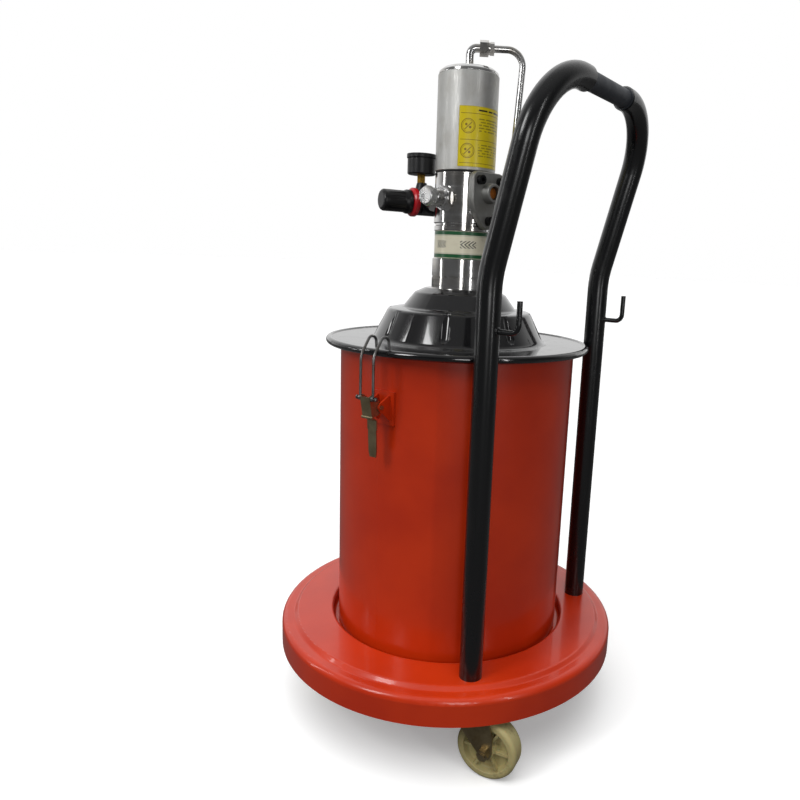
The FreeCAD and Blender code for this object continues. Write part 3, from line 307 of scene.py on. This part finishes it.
def rgb(red, green, blue):
    """A colour as a designer names it, 0 to 255, turned into the linear values that shaders use."""
    def linear(value):
        value = value / 255
        return value / 12.92 if value <= 0.04045 else ((value + 0.055) / 1.055) ** 2.4
    return (linear(red), linear(green), linear(blue), 1.0)

# %% [markdown]
# ## The finishes of this machine
# The drum and the trolley are sprayed with orange enamel, the lid and handle with black. Both are glossy, so
# a clear coat carries the sharp reflections while the paint below stays a little softer.

# %% Paints
orange_enamel = finish("orange enamel", paint_group, dict(
    Colour=rgb(200, 52, 10), Thin_colour=rgb(184, 43, 8), Roughness=0.3, Dust=0.04, Smears=0.12),
    bump=0.05, bump_depth=0.0004, Coat_Weight=0.4, Coat_Roughness=0.08, IOR=1.45)
black_enamel = finish("black enamel", paint_group, dict(
    Colour=rgb(5, 5, 7), Thin_colour=rgb(8, 8, 10), Roughness=0.16, Dust=0.03, Smears=0.25),
    bump=0.05, bump_depth=0.0004, Coat_Weight=0.8, Coat_Roughness=0.05, IOR=1.5)
handle_enamel = finish("handle enamel", paint_group, dict(
    Colour=rgb(6, 7, 9), Thin_colour=rgb(9, 10, 12), Roughness=0.26, Dust=0.04, Smears=0.4),
    bump=0.08, bump_depth=0.0003, Coat_Weight=0.4, Coat_Roughness=0.16, IOR=1.5)
grey_grip = finish("grey grip", mould_group, dict(
    Colour=rgb(52, 56, 62), Scuffed=rgb(84, 88, 94), Grain=900.0, Roughness=0.5, Scuffs=0.5, Dust=0.25),
    bump=0.25, bump_depth=0.0003)

# %% [markdown]
# The pump's column is turned steel with bright chrome, and its air cylinder is a drawn aluminium tube with a
# dull, silvery skin. Zinc plating has a warm yellow cast where it has been passivated.

# %% Metals
chrome = finish("bright chrome", metal_group, dict(
    Colour=rgb(226, 226, 226), Tarnish=rgb(205, 200, 192), Lines=(6.0, 6.0, 700.0), Roughness=0.09,
    Spread=0.1,
    Dust=0.1, Smears=0.35), bump=0.05, bump_depth=0.0001, Metallic=1.0)
fitting_chrome = finish("fitting chrome", metal_group, dict(
    Colour=rgb(214, 214, 214), Tarnish=rgb(190, 184, 174), Lines=(60.0, 60.0, 60.0), Roughness=0.14,
    Spread=0.12,
    Dust=0.15, Smears=0.4), bump=0.02, bump_depth=0.0001, Metallic=1.0)
drawn_aluminium = finish("drawn aluminium", metal_group, dict(
    Colour=rgb(206, 206, 203), Tarnish=rgb(190, 188, 182), Lines=(420.0, 420.0, 60.0), Roughness=0.4,
    Spread=0.14,
    Dust=0.1, Smears=0.4), bump=0.12, bump_depth=0.0002, Metallic=0.85)
cast_aluminium = finish("cast aluminium", metal_group, dict(
    Colour=rgb(168, 168, 165), Tarnish=rgb(140, 138, 132), Lines=(700.0, 700.0, 700.0), Roughness=0.38,
    Spread=0.2,
    Dust=0.3, Smears=0.5), bump=0.4, bump_depth=0.0004, Metallic=0.9)
yellow_zinc = finish("yellow zinc", metal_group, dict(
    Colour=rgb(170, 156, 124), Tarnish=rgb(132, 112, 80), Lines=(90.0, 90.0, 90.0), Roughness=0.3,
    Spread=0.16,
    Dust=0.3, Smears=0.6), bump=0.15, bump_depth=0.0003, Metallic=1.0)
drawn_steel = finish("drawn steel", metal_group, dict(
    Colour=rgb(150, 150, 150), Tarnish=rgb(110, 104, 98), Lines=(80.0, 80.0, 400.0), Roughness=0.26,
    Spread=0.14,
    Dust=0.15, Smears=0.5), bump=0.1, bump_depth=0.0002, Metallic=1.0)
black_steel = finish("black oxide steel", metal_group, dict(
    Colour=rgb(34, 34, 36), Tarnish=rgb(22, 21, 20), Lines=(300.0, 300.0, 300.0), Roughness=0.36, Spread=0.12,
    Dust=0.3, Smears=0.4), bump=0.2, bump_depth=0.0002, Metallic=0.8)
brass = finish("turned brass", metal_group, dict(
    Colour=rgb(178, 140, 62), Tarnish=rgb(128, 96, 40), Lines=(60.0, 60.0, 500.0), Roughness=0.24,
    Spread=0.14,
    Dust=0.2, Smears=0.5), bump=0.1, bump_depth=0.0002, Metallic=1.0)
bronze = finish("sintered bronze", mould_group, dict(
    Colour=rgb(176, 104, 40), Scuffed=rgb(120, 68, 26), Grain=1700.0, Roughness=0.5, Scuffs=0.8, Dust=0.2),
    bump=0.9, bump_depth=0.0006, Metallic=0.75)

# %% [markdown]
# The wheels are moulded in unpainted nylon, which yellows and lets a little light in. The knob, the gauge
# and the regulator are black plastic with a fine grain, and the bonnet ring is red.

# %% Plastics, rubber and glass
nylon = finish("raw nylon", mould_group, dict(
    Colour=rgb(178, 166, 116), Scuffed=rgb(122, 106, 68), Grain=500.0, Roughness=0.42, Scuffs=0.75, Dust=0.5),
    bump=0.2, bump_depth=0.0004, Subsurface_Weight=0.12, Subsurface_Scale=0.004)
black_plastic = finish("grained black plastic", mould_group, dict(
    Colour=rgb(13, 13, 15), Scuffed=rgb(32, 32, 34), Grain=1600.0, Roughness=0.34, Scuffs=0.35, Dust=0.25),
    bump=0.3, bump_depth=0.0002)
red_plastic = finish("red bonnet", mould_group, dict(
    Colour=rgb(186, 18, 30), Scuffed=rgb(140, 14, 22), Grain=1300.0, Roughness=0.3, Scuffs=0.4, Dust=0.2),
    bump=0.12, bump_depth=0.0002, Coat_Weight=0.3, Coat_Roughness=0.12)
seal_rubber = finish("seal rubber", mould_group, dict(
    Colour=rgb(24, 23, 22), Scuffed=rgb(50, 48, 45), Grain=900.0, Roughness=0.62, Scuffs=0.5, Dust=0.4),
    bump=0.3, bump_depth=0.0003)
clear_lens = finish("clear lens", mould_group, dict(
    Colour=rgb(244, 246, 246), Scuffed=rgb(230, 232, 232), Grain=300.0, Roughness=0.03, Scuffs=0.2, Dust=0.0),
    bump=0.01, bump_depth=0.0001, Transmission_Weight=1.0, IOR=1.49)

# %% [markdown]
# ## Dressing the CAD pieces
# Each CAD piece already has one material slot, so a finish is given by putting it in that slot. The list
# goes from the real machine's parts to their finishes, and nothing is left with the plain colour it came in.

# %% Give each CAD piece its finish
dressing = {
    orange_enamel: ["base_tray", "drum", "latch_brackets"],
    black_enamel: ["lid"],
    handle_enamel: ["handle_tube_left", "handle_tube_right", "hose_hooks"],
    grey_grip: ["handle_bar"],
    chrome: ["neck", "valve_body", "top_cap"],
    fitting_chrome: ["elbow", "pipe_nut", "air_pipe", "pipe_socket", "relief_valve", "relief_cap",
                     "regulator_nipple", "air_plug", "outlet_fitting"],
    drawn_aluminium: ["air_cylinder", "air_piston"],
    cast_aluminium: ["valve_cover"],
    yellow_zinc: ["drum_bolts", "caster_stems", "stem_nuts", "latch_pins", "latch_lever_left",
                  "latch_lever_right", "caster_fork_1", "caster_fork_2", "caster_fork_3", "caster_fork_4"],
    drawn_steel: ["latch_bail_left", "latch_bail_right", "lid_lock_ring", "suction_tube", "foot_valve",
                  "foot_ball", "plunger", "plunger_ball", "spool", "piston_rod"],
    black_steel: ["cover_screws"],
    brass: ["gauge_stem"],
    bronze: ["silencer"],
    nylon: ["caster_wheel_1", "caster_wheel_2", "caster_wheel_3", "caster_wheel_4"],
    black_plastic: ["regulator_body", "regulator_knob", "gauge_case", "gauge_pointer"],
    red_plastic: ["bonnet_ring"],
    seal_rubber: ["lid_gasket", "motor_gasket", "piston_seal", "rod_packing"],
    clear_lens: ["gauge_lens"],
}
for material, names in dressing.items():
    for name in names:
        nodes[name].material_slots[0].material = material
left_plain = set(nodes) - {name for names in dressing.values() for name in names}
print("dressed", len(nodes) - len(left_plain), "pieces; left plain:", sorted(left_plain))

# %% [markdown]
# ## The printed labels
# Two thin printed films are wrapped round the pump: a yellow plate with two round signs on the air cylinder,
# and a cream band with green edges on the neck. Each starts as an open tube of the right radius. The faces
# outside its arc are deleted, and Solidify gives the film its thickness. The print is drawn in the shader on
# a UV map that unrolls the film, u along the arc and v up it, so lines stay sharp at any distance. Plain
# bars, rings and chevrons stand where a maker would print words, so nothing on it can be read.

# %% Helper: a film wrapped round an upright tube
def wrapped_film(name, radius, low, high, start, end, thickness, material, slot):
    """An open tube cut to an arc of bearings in degrees, with an unrolled UV map and a thickness."""
    step = 2.5
    clear_selection()
    bpy.ops.mesh.primitive_cylinder_add(vertices=int(360 / step), radius=radius, depth=high - low,
                                        end_fill_type="NOTHING", location=(0, 0, (low + high) / 2),
                                        rotation=(0, 0, math.radians(start % step)))
    piece = begin(name)
    pick(piece, "FACE", lambda middle: not start < math.degrees(math.atan2(middle.x, -middle.y)) % 360 < end)
    bpy.ops.mesh.delete(type="FACE")
    bpy.ops.mesh.select_all(action="SELECT")
    bpy.ops.mesh.normals_make_consistent(inside=False)
    bpy.ops.object.mode_set(mode="OBJECT")
    middle = piece.data.polygons[0].center
    if piece.data.polygons[0].normal.dot(Vector((middle.x, middle.y, 0))) < 0:
        piece.data.flip_normals()
    unrolled = piece.data.uv_layers.new(name="Print")
    for loop in piece.data.loops:
        point = piece.data.vertices[loop.vertex_index].co
        bearing = math.degrees(math.atan2(point.x, -point.y)) % 360
        unrolled.data[loop.index].uv = ((bearing - start) / (end - start), (point.z - low) / (high - low))
    apply_modifier(piece, "SOLIDIFY", thickness=thickness, offset=1.0)
    bpy.ops.object.mode_set(mode="EDIT")
    close_edit(piece, "trolley", material, smooth=40)
    return piece

# %% [markdown]
# A print is made of a few shapes: a straight rule, a box, a ring. Compare gives 1 where a value is within a
# distance of another, which makes a rule; two rules multiplied make a box; a rule of the distance to a point
# makes a ring. Small words become a row of boxes whose gaps come from a noise.

# %% Helpers: shapes of ink
def rule(tree, value, middle, half):
    """1 where the value is within half of the middle."""
    return add(tree, "Math", {"operation": "COMPARE"}, _0=value, _1=middle, _2=half).outputs[0]


def block(tree, across, up, left, right, low, high):
    """1 inside a box."""
    wide = rule(tree, across, (left + right) / 2, (right - left) / 2)
    return maths(tree, "MULTIPLY", wide, rule(tree, up, (low + high) / 2, (high - low) / 2))


def overlaid(tree, *masks):
    """1 where any of the masks is."""
    result = masks[0]
    for mask in masks[1:]:
        result = maths(tree, "MAXIMUM", result, mask)
    return result


def distance_to(tree, across, up, place):
    """Distance of the point (across, up) from a place."""
    side = maths(tree, "SUBTRACT", across, place[0])
    rise = maths(tree, "SUBTRACT", up, place[1])
    squares = maths(tree, "ADD", maths(tree, "MULTIPLY", side, side), maths(tree, "MULTIPLY", rise, rise))
    return maths(tree, "SQRT", squares)


def unrolled(tree, width, height):
    """Millimetres along and up the film, from its UV map."""
    parts = add(tree, "SeparateXYZ", Vector=add(tree, "UVMap", {"uv_map": "Print"}).outputs["UV"])
    across = maths(tree, "MULTIPLY", parts.outputs["X"], width)
    up = maths(tree, "MULTIPLY", parts.outputs["Y"], height)
    return across, up


def ink(material, mask, colour):
    """Lays one more colour over what already feeds the shader's base colour."""
    tree = material.node_tree
    socket = tree.nodes["Principled BSDF"].inputs["Base Color"]
    under = socket.links[0].from_socket
    tree.links.new(mix_colour(tree, mask, under, colour), socket)


def words(tree, across, up, left, right, low, high, lines, seed):
    """Rows of short bars in a box, like print too small to read."""
    row = maths(tree, "DIVIDE", maths(tree, "SUBTRACT", up, low), (high - low) / lines)
    bars = rule(tree, maths(tree, "FRACT", row), 0.4, 0.22)
    column = maths(tree, "MULTIPLY", across, 0.55)
    place = add(tree, "CombineXYZ", X=column, Y=maths(tree, "FLOOR", row), Z=seed)
    cell = add(tree, "VectorMath", {"operation": "FLOOR"}, _0=place.outputs[0])
    gaps = add(tree, "TexWhiteNoise", {"noise_dimensions": "3D"}, Vector=cell.outputs[0]).outputs["Value"]
    printed = maths(tree, "MULTIPLY", bars, maths(tree, "GREATER_THAN", gaps, 0.24))
    return maths(tree, "MULTIPLY", printed, block(tree, across, up, left, right, low, high))

# %% [markdown]
# ### The yellow plate
# It sits just above the foot of the air cylinder and covers a third of its round. Its place and size come
# first, in metres, and then its width and height in millimetres, because the print is laid out in those.

# %% Place and size of the yellow plate
MM = 0.001
cylinder_low, cylinder_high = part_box("air_cylinder")
cylinder_radius = (cylinder_high[0] - cylinder_low[0]) / 2
plate_low = cylinder_low[2] + 3.7 * MM
plate_high = plate_low + 70.5 * MM
plate_arc = (110.3, 230.3)
plate_width = math.radians(plate_arc[1] - plate_arc[0]) * cylinder_radius / MM
plate_height = (plate_high - plate_low) / MM
print("plate", round(plate_width, 1), "by", round(plate_height, 1), "mm")

# %% [markdown]
# The plate has a darker border, a heading, a ruled line under it, and two rows. Each row has a round sign on
# the left and small print on the right. The ink is a brown that is a little transparent. A round sign is two
# rings with a slash and two dots inside, and means nothing.

# %% Print of the yellow plate
yellow_print = finish("yellow print", mould_group, dict(
    Colour=rgb(222, 200, 12), Scuffed=rgb(196, 176, 40), Grain=700.0, Roughness=0.34, Scuffs=0.3, Dust=0.1),
    bump=0.06, bump_depth=0.0001, Coat_Weight=0.25, Coat_Roughness=0.2)
tree = yellow_print.node_tree
along, up = unrolled(tree, plate_width, plate_height)
rules = overlaid(tree, rule(tree, up, 62.0, 0.35), rule(tree, up, 31.6, 0.35), rule(tree, up, 4.4, 0.35))
rules = maths(tree, "MULTIPLY", rules, rule(tree, along, plate_width / 2, plate_width / 2 - 2.2))
signs = []
sign_along = 11.6
for height in (47.4, 18.6):
    away = distance_to(tree, along, up, (sign_along, height))
    signs.append(rule(tree, away, 8.4, 0.45))
    signs.append(rule(tree, away, 6.9, 0.2))
    slash = rule(tree, maths(tree, "SUBTRACT", along, up), sign_along - height, 0.7)
    signs.append(maths(tree, "MULTIPLY", slash, maths(tree, "LESS_THAN", away, 6.2)))
    for aside, raised in ((-2.4, 1.6), (2.4, -1.6)):
        dot_away = distance_to(tree, along, up, (sign_along + aside, height + raised))
        signs.append(maths(tree, "LESS_THAN", dot_away, 1.5))
print_rows = [words(tree, along, up, 25.0, plate_width - 6, 41.0, 58.0, 5, 1.0),
              words(tree, along, up, 25.0, plate_width - 6, 12.0, 28.0, 5, 2.0)]
heading = words(tree, along, up, 24.0, plate_width - 12, 64.2, 68.6, 1, 3.0)
border = 0.9
field = block(tree, along, up, border, plate_width - border, border, plate_height - border)
frame_line = maths(tree, "SUBTRACT", 1.0, field)
ink(yellow_print, maths(tree, "MULTIPLY", overlaid(tree, rules, *signs), 0.8), rgb(104, 62, 10))
ink(yellow_print, maths(tree, "MULTIPLY", overlaid(tree, *print_rows), 0.65), rgb(96, 80, 20))
ink(yellow_print, heading, rgb(40, 34, 14))
ink(yellow_print, maths(tree, "MULTIPLY", frame_line, 0.35), rgb(150, 130, 10))

# %% [markdown]
# The film starts a hair outside the cylinder, because its faces are flat and would otherwise dip into the
# round tube between their edges.

# %% Film of the yellow plate
FILM_LIFT = 0.05 * MM
FILM_THICKNESS = 0.15 * MM
wrapped_film("instruction_plate", cylinder_radius + FILM_LIFT, plate_low, plate_high, *plate_arc,
             FILM_THICKNESS, yellow_print, "aluminium")

# %% [markdown]
# ### The banded label on the neck
# This film goes nearly all the way round the groove that is turned in the neck for it, and its ends stop
# just short of each other. It has a green stripe and a thin rule along each edge. The chevrons point round
# the pump.

# %% Place and size of the band
band_radius = 36.1 * MM
band_height = 33.5
band_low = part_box("neck")[1][2] - 43.0 * MM
band_high = band_low + band_height * MM
band_arc = (2.0, 357.0)
band_width = math.radians(band_arc[1] - band_arc[0]) * band_radius / MM
print("band", round(band_width, 1), "by", band_height, "mm")

# %% [markdown]
# A chevron is a slanted stripe that turns back at mid-height: the height above or below the middle is taken
# off the distance along the band, and what is left over from whole steps tells ink from paper. Three boxes
# say where chevrons are printed.

# %% Print of the band
cream_print = finish("cream print", mould_group, dict(
    Colour=rgb(226, 220, 196), Scuffed=rgb(196, 186, 158), Grain=800.0, Roughness=0.36, Scuffs=0.35,
    Dust=0.1),
    bump=0.06, bump_depth=0.0001, Coat_Weight=0.3, Coat_Roughness=0.2)
tree = cream_print.node_tree
along, up = unrolled(tree, band_width, band_height)
stripes = overlaid(tree, rule(tree, up, 2.6, 2.3), rule(tree, up, 30.9, 2.3))
thin_rules = overlaid(tree, rule(tree, up, 6.0, 0.25), rule(tree, up, 27.5, 0.25))
ink(cream_print, stripes, rgb(12, 84, 44))
ink(cream_print, maths(tree, "MULTIPLY", thin_rules, 0.5), rgb(60, 110, 80))
climb = maths(tree, "SUBTRACT", maths(tree, "MULTIPLY", along, 0.2),
              maths(tree, "MULTIPLY", maths(tree, "ABSOLUTE", maths(tree, "SUBTRACT", up, 17.0)), 0.28))
chevrons = maths(tree, "LESS_THAN", maths(tree, "FRACT", climb), 0.42)
printed_stretches = ((40.0, 56.0), (75.0, 96.0), (150.0, 180.0))
groups = overlaid(tree, *[block(tree, along, up, left, right, 12.4, 21.6)
                          for left, right in printed_stretches])
ink(cream_print, maths(tree, "MULTIPLY", chevrons, groups), rgb(30, 34, 30))

# %% Film of the band
wrapped_film("neck_band", band_radius + FILM_LIFT, band_low, band_high, *band_arc, FILM_THICKNESS,
             cream_print, "aluminium")

# %% [markdown]
# ## The gauge's dial
# Under the lens lies a white dial. Its marks are a ring of ticks, found from the angle round the gauge's
# middle, with a longer tick at every fifth one and a red stretch at the end of the scale. The scale starts
# where the pointer rests and runs three quarters of a turn clockwise.

# %% Print of the dial
case_low, case_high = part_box("gauge_case")
dial_middle = Vector(((case_low[0] + case_high[0]) / 2, (case_low[1] + case_high[1]) / 2,
                      case_high[2] - 6.9 * MM))
scale_start = 137.7
dial_print = finish("dial print", mould_group, dict(
    Colour=rgb(232, 232, 226), Scuffed=rgb(214, 212, 200), Grain=1500.0, Roughness=0.42, Scuffs=0.3,
    Dust=0.05),
    bump=0.05, bump_depth=0.0001)
tree = dial_print.node_tree
place = add(tree, "TexCoord").outputs["Object"]
centred = add(tree, "Mapping", Vector=place, Location=-dial_middle)
parts = add(tree, "SeparateXYZ", Vector=centred.outputs["Vector"])
reach = maths(tree, "MULTIPLY", distance_to(tree, parts.outputs["X"], parts.outputs["Y"], (0.0, 0.0)), 1000.0)
angle = maths(tree, "ARCTAN2", parts.outputs["Y"], parts.outputs["X"])
clockwise = maths(tree, "SUBTRACT", math.radians(scale_start + 360), angle)
turn = maths(tree, "FRACT", maths(tree, "DIVIDE", clockwise, math.tau))
on_scale = maths(tree, "LESS_THAN", maths(tree, "ABSOLUTE", maths(tree, "SUBTRACT", turn, 0.375)), 0.378)


def ticks(tree, turn, spacing, share):
    """1 within a small share of each step of the scale."""
    step = maths(tree, "FRACT", maths(tree, "ADD", maths(tree, "DIVIDE", turn, spacing), 0.5))
    return rule(tree, step, 0.5, share)


short_ticks = maths(tree, "MULTIPLY", ticks(tree, turn, 0.015, 0.11), rule(tree, reach, 15.2, 1.0))
long_ticks = maths(tree, "MULTIPLY", ticks(tree, turn, 0.075, 0.04), rule(tree, reach, 14.4, 1.8))
ring_line = rule(tree, reach, 16.3, 0.12)
black_marks = maths(tree, "MULTIPLY", overlaid(tree, short_ticks, long_ticks, ring_line), on_scale)
red_marks = maths(tree, "MULTIPLY", rule(tree, reach, 16.8, 0.35), rule(tree, turn, 0.675, 0.075))
ink(dial_print, black_marks, rgb(16, 16, 18))
ink(dial_print, red_marks, rgb(190, 20, 24))

# %% [markdown]
# The dial itself is a filled circle. Two insets leave a low raised rim round its face, and Solidify gives it
# its thickness.

# %% Disc of the dial
clear_selection()
bpy.ops.mesh.primitive_circle_add(vertices=72, radius=17.7 * MM, fill_type="NGON", location=dial_middle)
dial = begin("gauge_dial")
bpy.ops.mesh.select_all(action="SELECT")
bpy.ops.mesh.inset(thickness=0.35 * MM, depth=0)
bpy.ops.mesh.inset(thickness=0.3 * MM, depth=-0.12 * MM)
bpy.ops.object.mode_set(mode="OBJECT")
apply_modifier(dial, "SOLIDIFY", thickness=0.2 * MM, offset=0.0)
bpy.ops.object.mode_set(mode="EDIT")
close_edit(dial, "trolley", dial_print, smooth=40)

# %% [markdown]
# ## Weld beads of the hose hooks
# Each hook is a bent rod welded to its post, and the weld is a rippled collar where the rod meets the tube.
# A torus is the start. Every other slice of it is swelled a little, as a weld pool freezes in steps, and a
# subdivision rounds the steps off.

# %% Hook welds
hook_low, hook_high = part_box("hose_hooks")
wire_radius = 3.0 * MM
tube_radius = 13.7 * MM
ripples = 12
post_side = hook_high[0] - wire_radius
weld_height = hook_low[2] + wire_radius
weld_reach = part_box("handle_tube_right")[0][1] + 2 * tube_radius
for side, across in (("left", -post_side), ("right", post_side)):
    middle = Vector((across, weld_reach - 0.4 * MM, weld_height))
    clear_selection()
    bpy.ops.mesh.primitive_torus_add(major_segments=48, minor_segments=8, major_radius=wire_radius + 0.5 * MM,
                                     minor_radius=1.3 * MM, location=middle,
                                     rotation=(math.radians(90), 0, 0))
    weld = begin("hook_weld_" + side)

    def swelled(place):
        """True on every other slice round the rod."""
        turn = math.atan2(place.z - middle.z, place.x - middle.x) / math.tau
        return turn * ripples % 1 < 0.5

    pick(weld, "VERT", swelled)
    bpy.ops.transform.resize(value=(1.09, 1.0, 1.09), center_override=middle)
    bpy.ops.object.mode_set(mode="OBJECT")
    apply_modifier(weld, "SUBSURF", levels=1, render_levels=1)
    bpy.ops.object.mode_set(mode="EDIT")
    close_edit(weld, "trolley", handle_enamel, smooth=80)

# %% [markdown]
# ## Camera
# The camera stands between the +X and +Y sides, higher than the drum's lid, and looks slightly down. The
# machine stands right of the middle of the view. That is done with the lens shift, so the camera needn't turn
# and the perspective stays the same.

# %% Camera
camera_data = bpy.data.cameras.new("view")
camera_data.lens = 31.476
camera_data.shift_x = -0.0921
camera_data.clip_start = 0.01
camera = bpy.data.objects.new("view", camera_data)
bpy.context.scene.collection.objects.link(camera)
camera.location = (0.76592, 0.54311, 0.60909)
camera.rotation_euler = [math.radians(angle) for angle in (78.4077, -2.6043, 124.3735)]
bpy.context.scene.camera = camera

# %% [markdown]
# ## Floor
# A wide pale floor with no visible end stands for the studio. A white floor would be mirrored in the paint
# and wash its colour out, so only the camera sees it pale, and reflections and bounced light see dark grey.
# It also gives off a little light of its own, to read as white. The view uses the Standard transform, which
# keeps whites white and paint colours as they were chosen.

# %% Floor
clear_selection()
bpy.ops.mesh.primitive_plane_add(size=60.0, location=(0, 0, 0))
floor = begin("studio_floor")
bpy.ops.object.mode_set(mode="OBJECT")
pale = bpy.data.materials.new("pale floor")
pale.use_nodes = True
tree = pale.node_tree
skin = tree.nodes["Principled BSDF"]
skin.inputs["Base Color"].default_value = (0.9, 0.9, 0.9, 1.0)
skin.inputs["Roughness"].default_value = 0.85
skin.inputs["Emission Color"].default_value = (1.0, 1.0, 1.0, 1.0)
skin.inputs["Emission Strength"].default_value = 0.24
matt_grey = add(tree, "BsdfDiffuse", Color=(0.1, 0.1, 0.1, 1.0))
chosen = add(tree, "MixShader", _0=add(tree, "LightPath").outputs["Is Camera Ray"], _1=matt_grey.outputs[0],
             _2=skin.outputs[0])
tree.links.new(chosen.outputs[0], tree.nodes["Material Output"].inputs["Surface"])
floor.data.materials.append(pale)
bpy.context.scene.view_settings.view_transform = "Standard"

# %% [markdown]
# ## Surroundings
# Gloss paint and chrome show the room as much as themselves. This room is bright behind the machine and
# above it, and dim behind the viewer, so black paint stays black and edges pick up light. What the camera
# sees directly is plain white.

# %% Room
world = bpy.data.worlds.new("studio")
bpy.context.scene.world = world
world.use_nodes = True
room = world.node_tree
toward = add(room, "TexCoord").outputs["Generated"]
behind = add(room, "VectorMath", {"operation": "DOT_PRODUCT"}, _0=toward, _1=(-0.815, -0.58, 0.0))
glow = ramp(room, behind.outputs["Value"], -0.1, 0.75, 0.07, 0.8)
above = ramp(room, add(room, "SeparateXYZ", Vector=toward).outputs["Z"], 0.3, 0.95, 0.0, 0.25)
seen = add(room, "LightPath").outputs["Is Camera Ray"]
strength = maths(room, "MAXIMUM", maths(room, "ADD", glow, above), seen)
background = room.nodes["Background"]
background.inputs["Color"].default_value = (1.0, 1.0, 1.0, 1.0)
room.links.new(strength, background.inputs["Strength"])

# %% [markdown]
# ## Lamps
# A wide, soft sun lights the floor evenly, and gloss doesn't mirror it. A large soft box high on the left is
# the main light, two narrow upright ones draw the streaks down the chrome and the tubes, and a weak one fills
# the shaded side.

# %% Lamps
def lamp(name, place, target, size, power):
    """A rectangular soft light that looks at a point."""
    data = bpy.data.lights.new(name, "AREA")
    data.shape = "RECTANGLE"
    data.size, data.size_y = size
    data.energy = power
    light = bpy.data.objects.new(name, data)
    bpy.context.scene.collection.objects.link(light)
    light.location = place
    light.rotation_euler = (Vector(target) - Vector(place)).to_track_quat("-Z", "Y").to_euler()
    return light


daylight = bpy.data.lights.new("daylight", "SUN")
daylight.energy = 1.75
daylight.angle = math.radians(50)
sun = bpy.data.objects.new("daylight", daylight)
bpy.context.scene.collection.objects.link(sun)
sun.visible_glossy = False
sun.rotation_euler = Vector((-0.35, -0.12, -1.0)).to_track_quat("-Z", "Y").to_euler()

lamp("key", (1.75, -0.35, 1.55), (0, 0, 0.35), (0.4, 0.8), 11)
lamp("strip left", (1.1, -1.3, 0.9), (0, 0, 0.5), (0.08, 1.2), 3)
lamp("strip right", (0.5, 1.75, 0.9), (0, 0, 0.5), (0.08, 1.2), 3)
lamp("fill", (1.5, 1.3, 0.7), (0, 0, 0.35), (0.5, 0.5), 4)
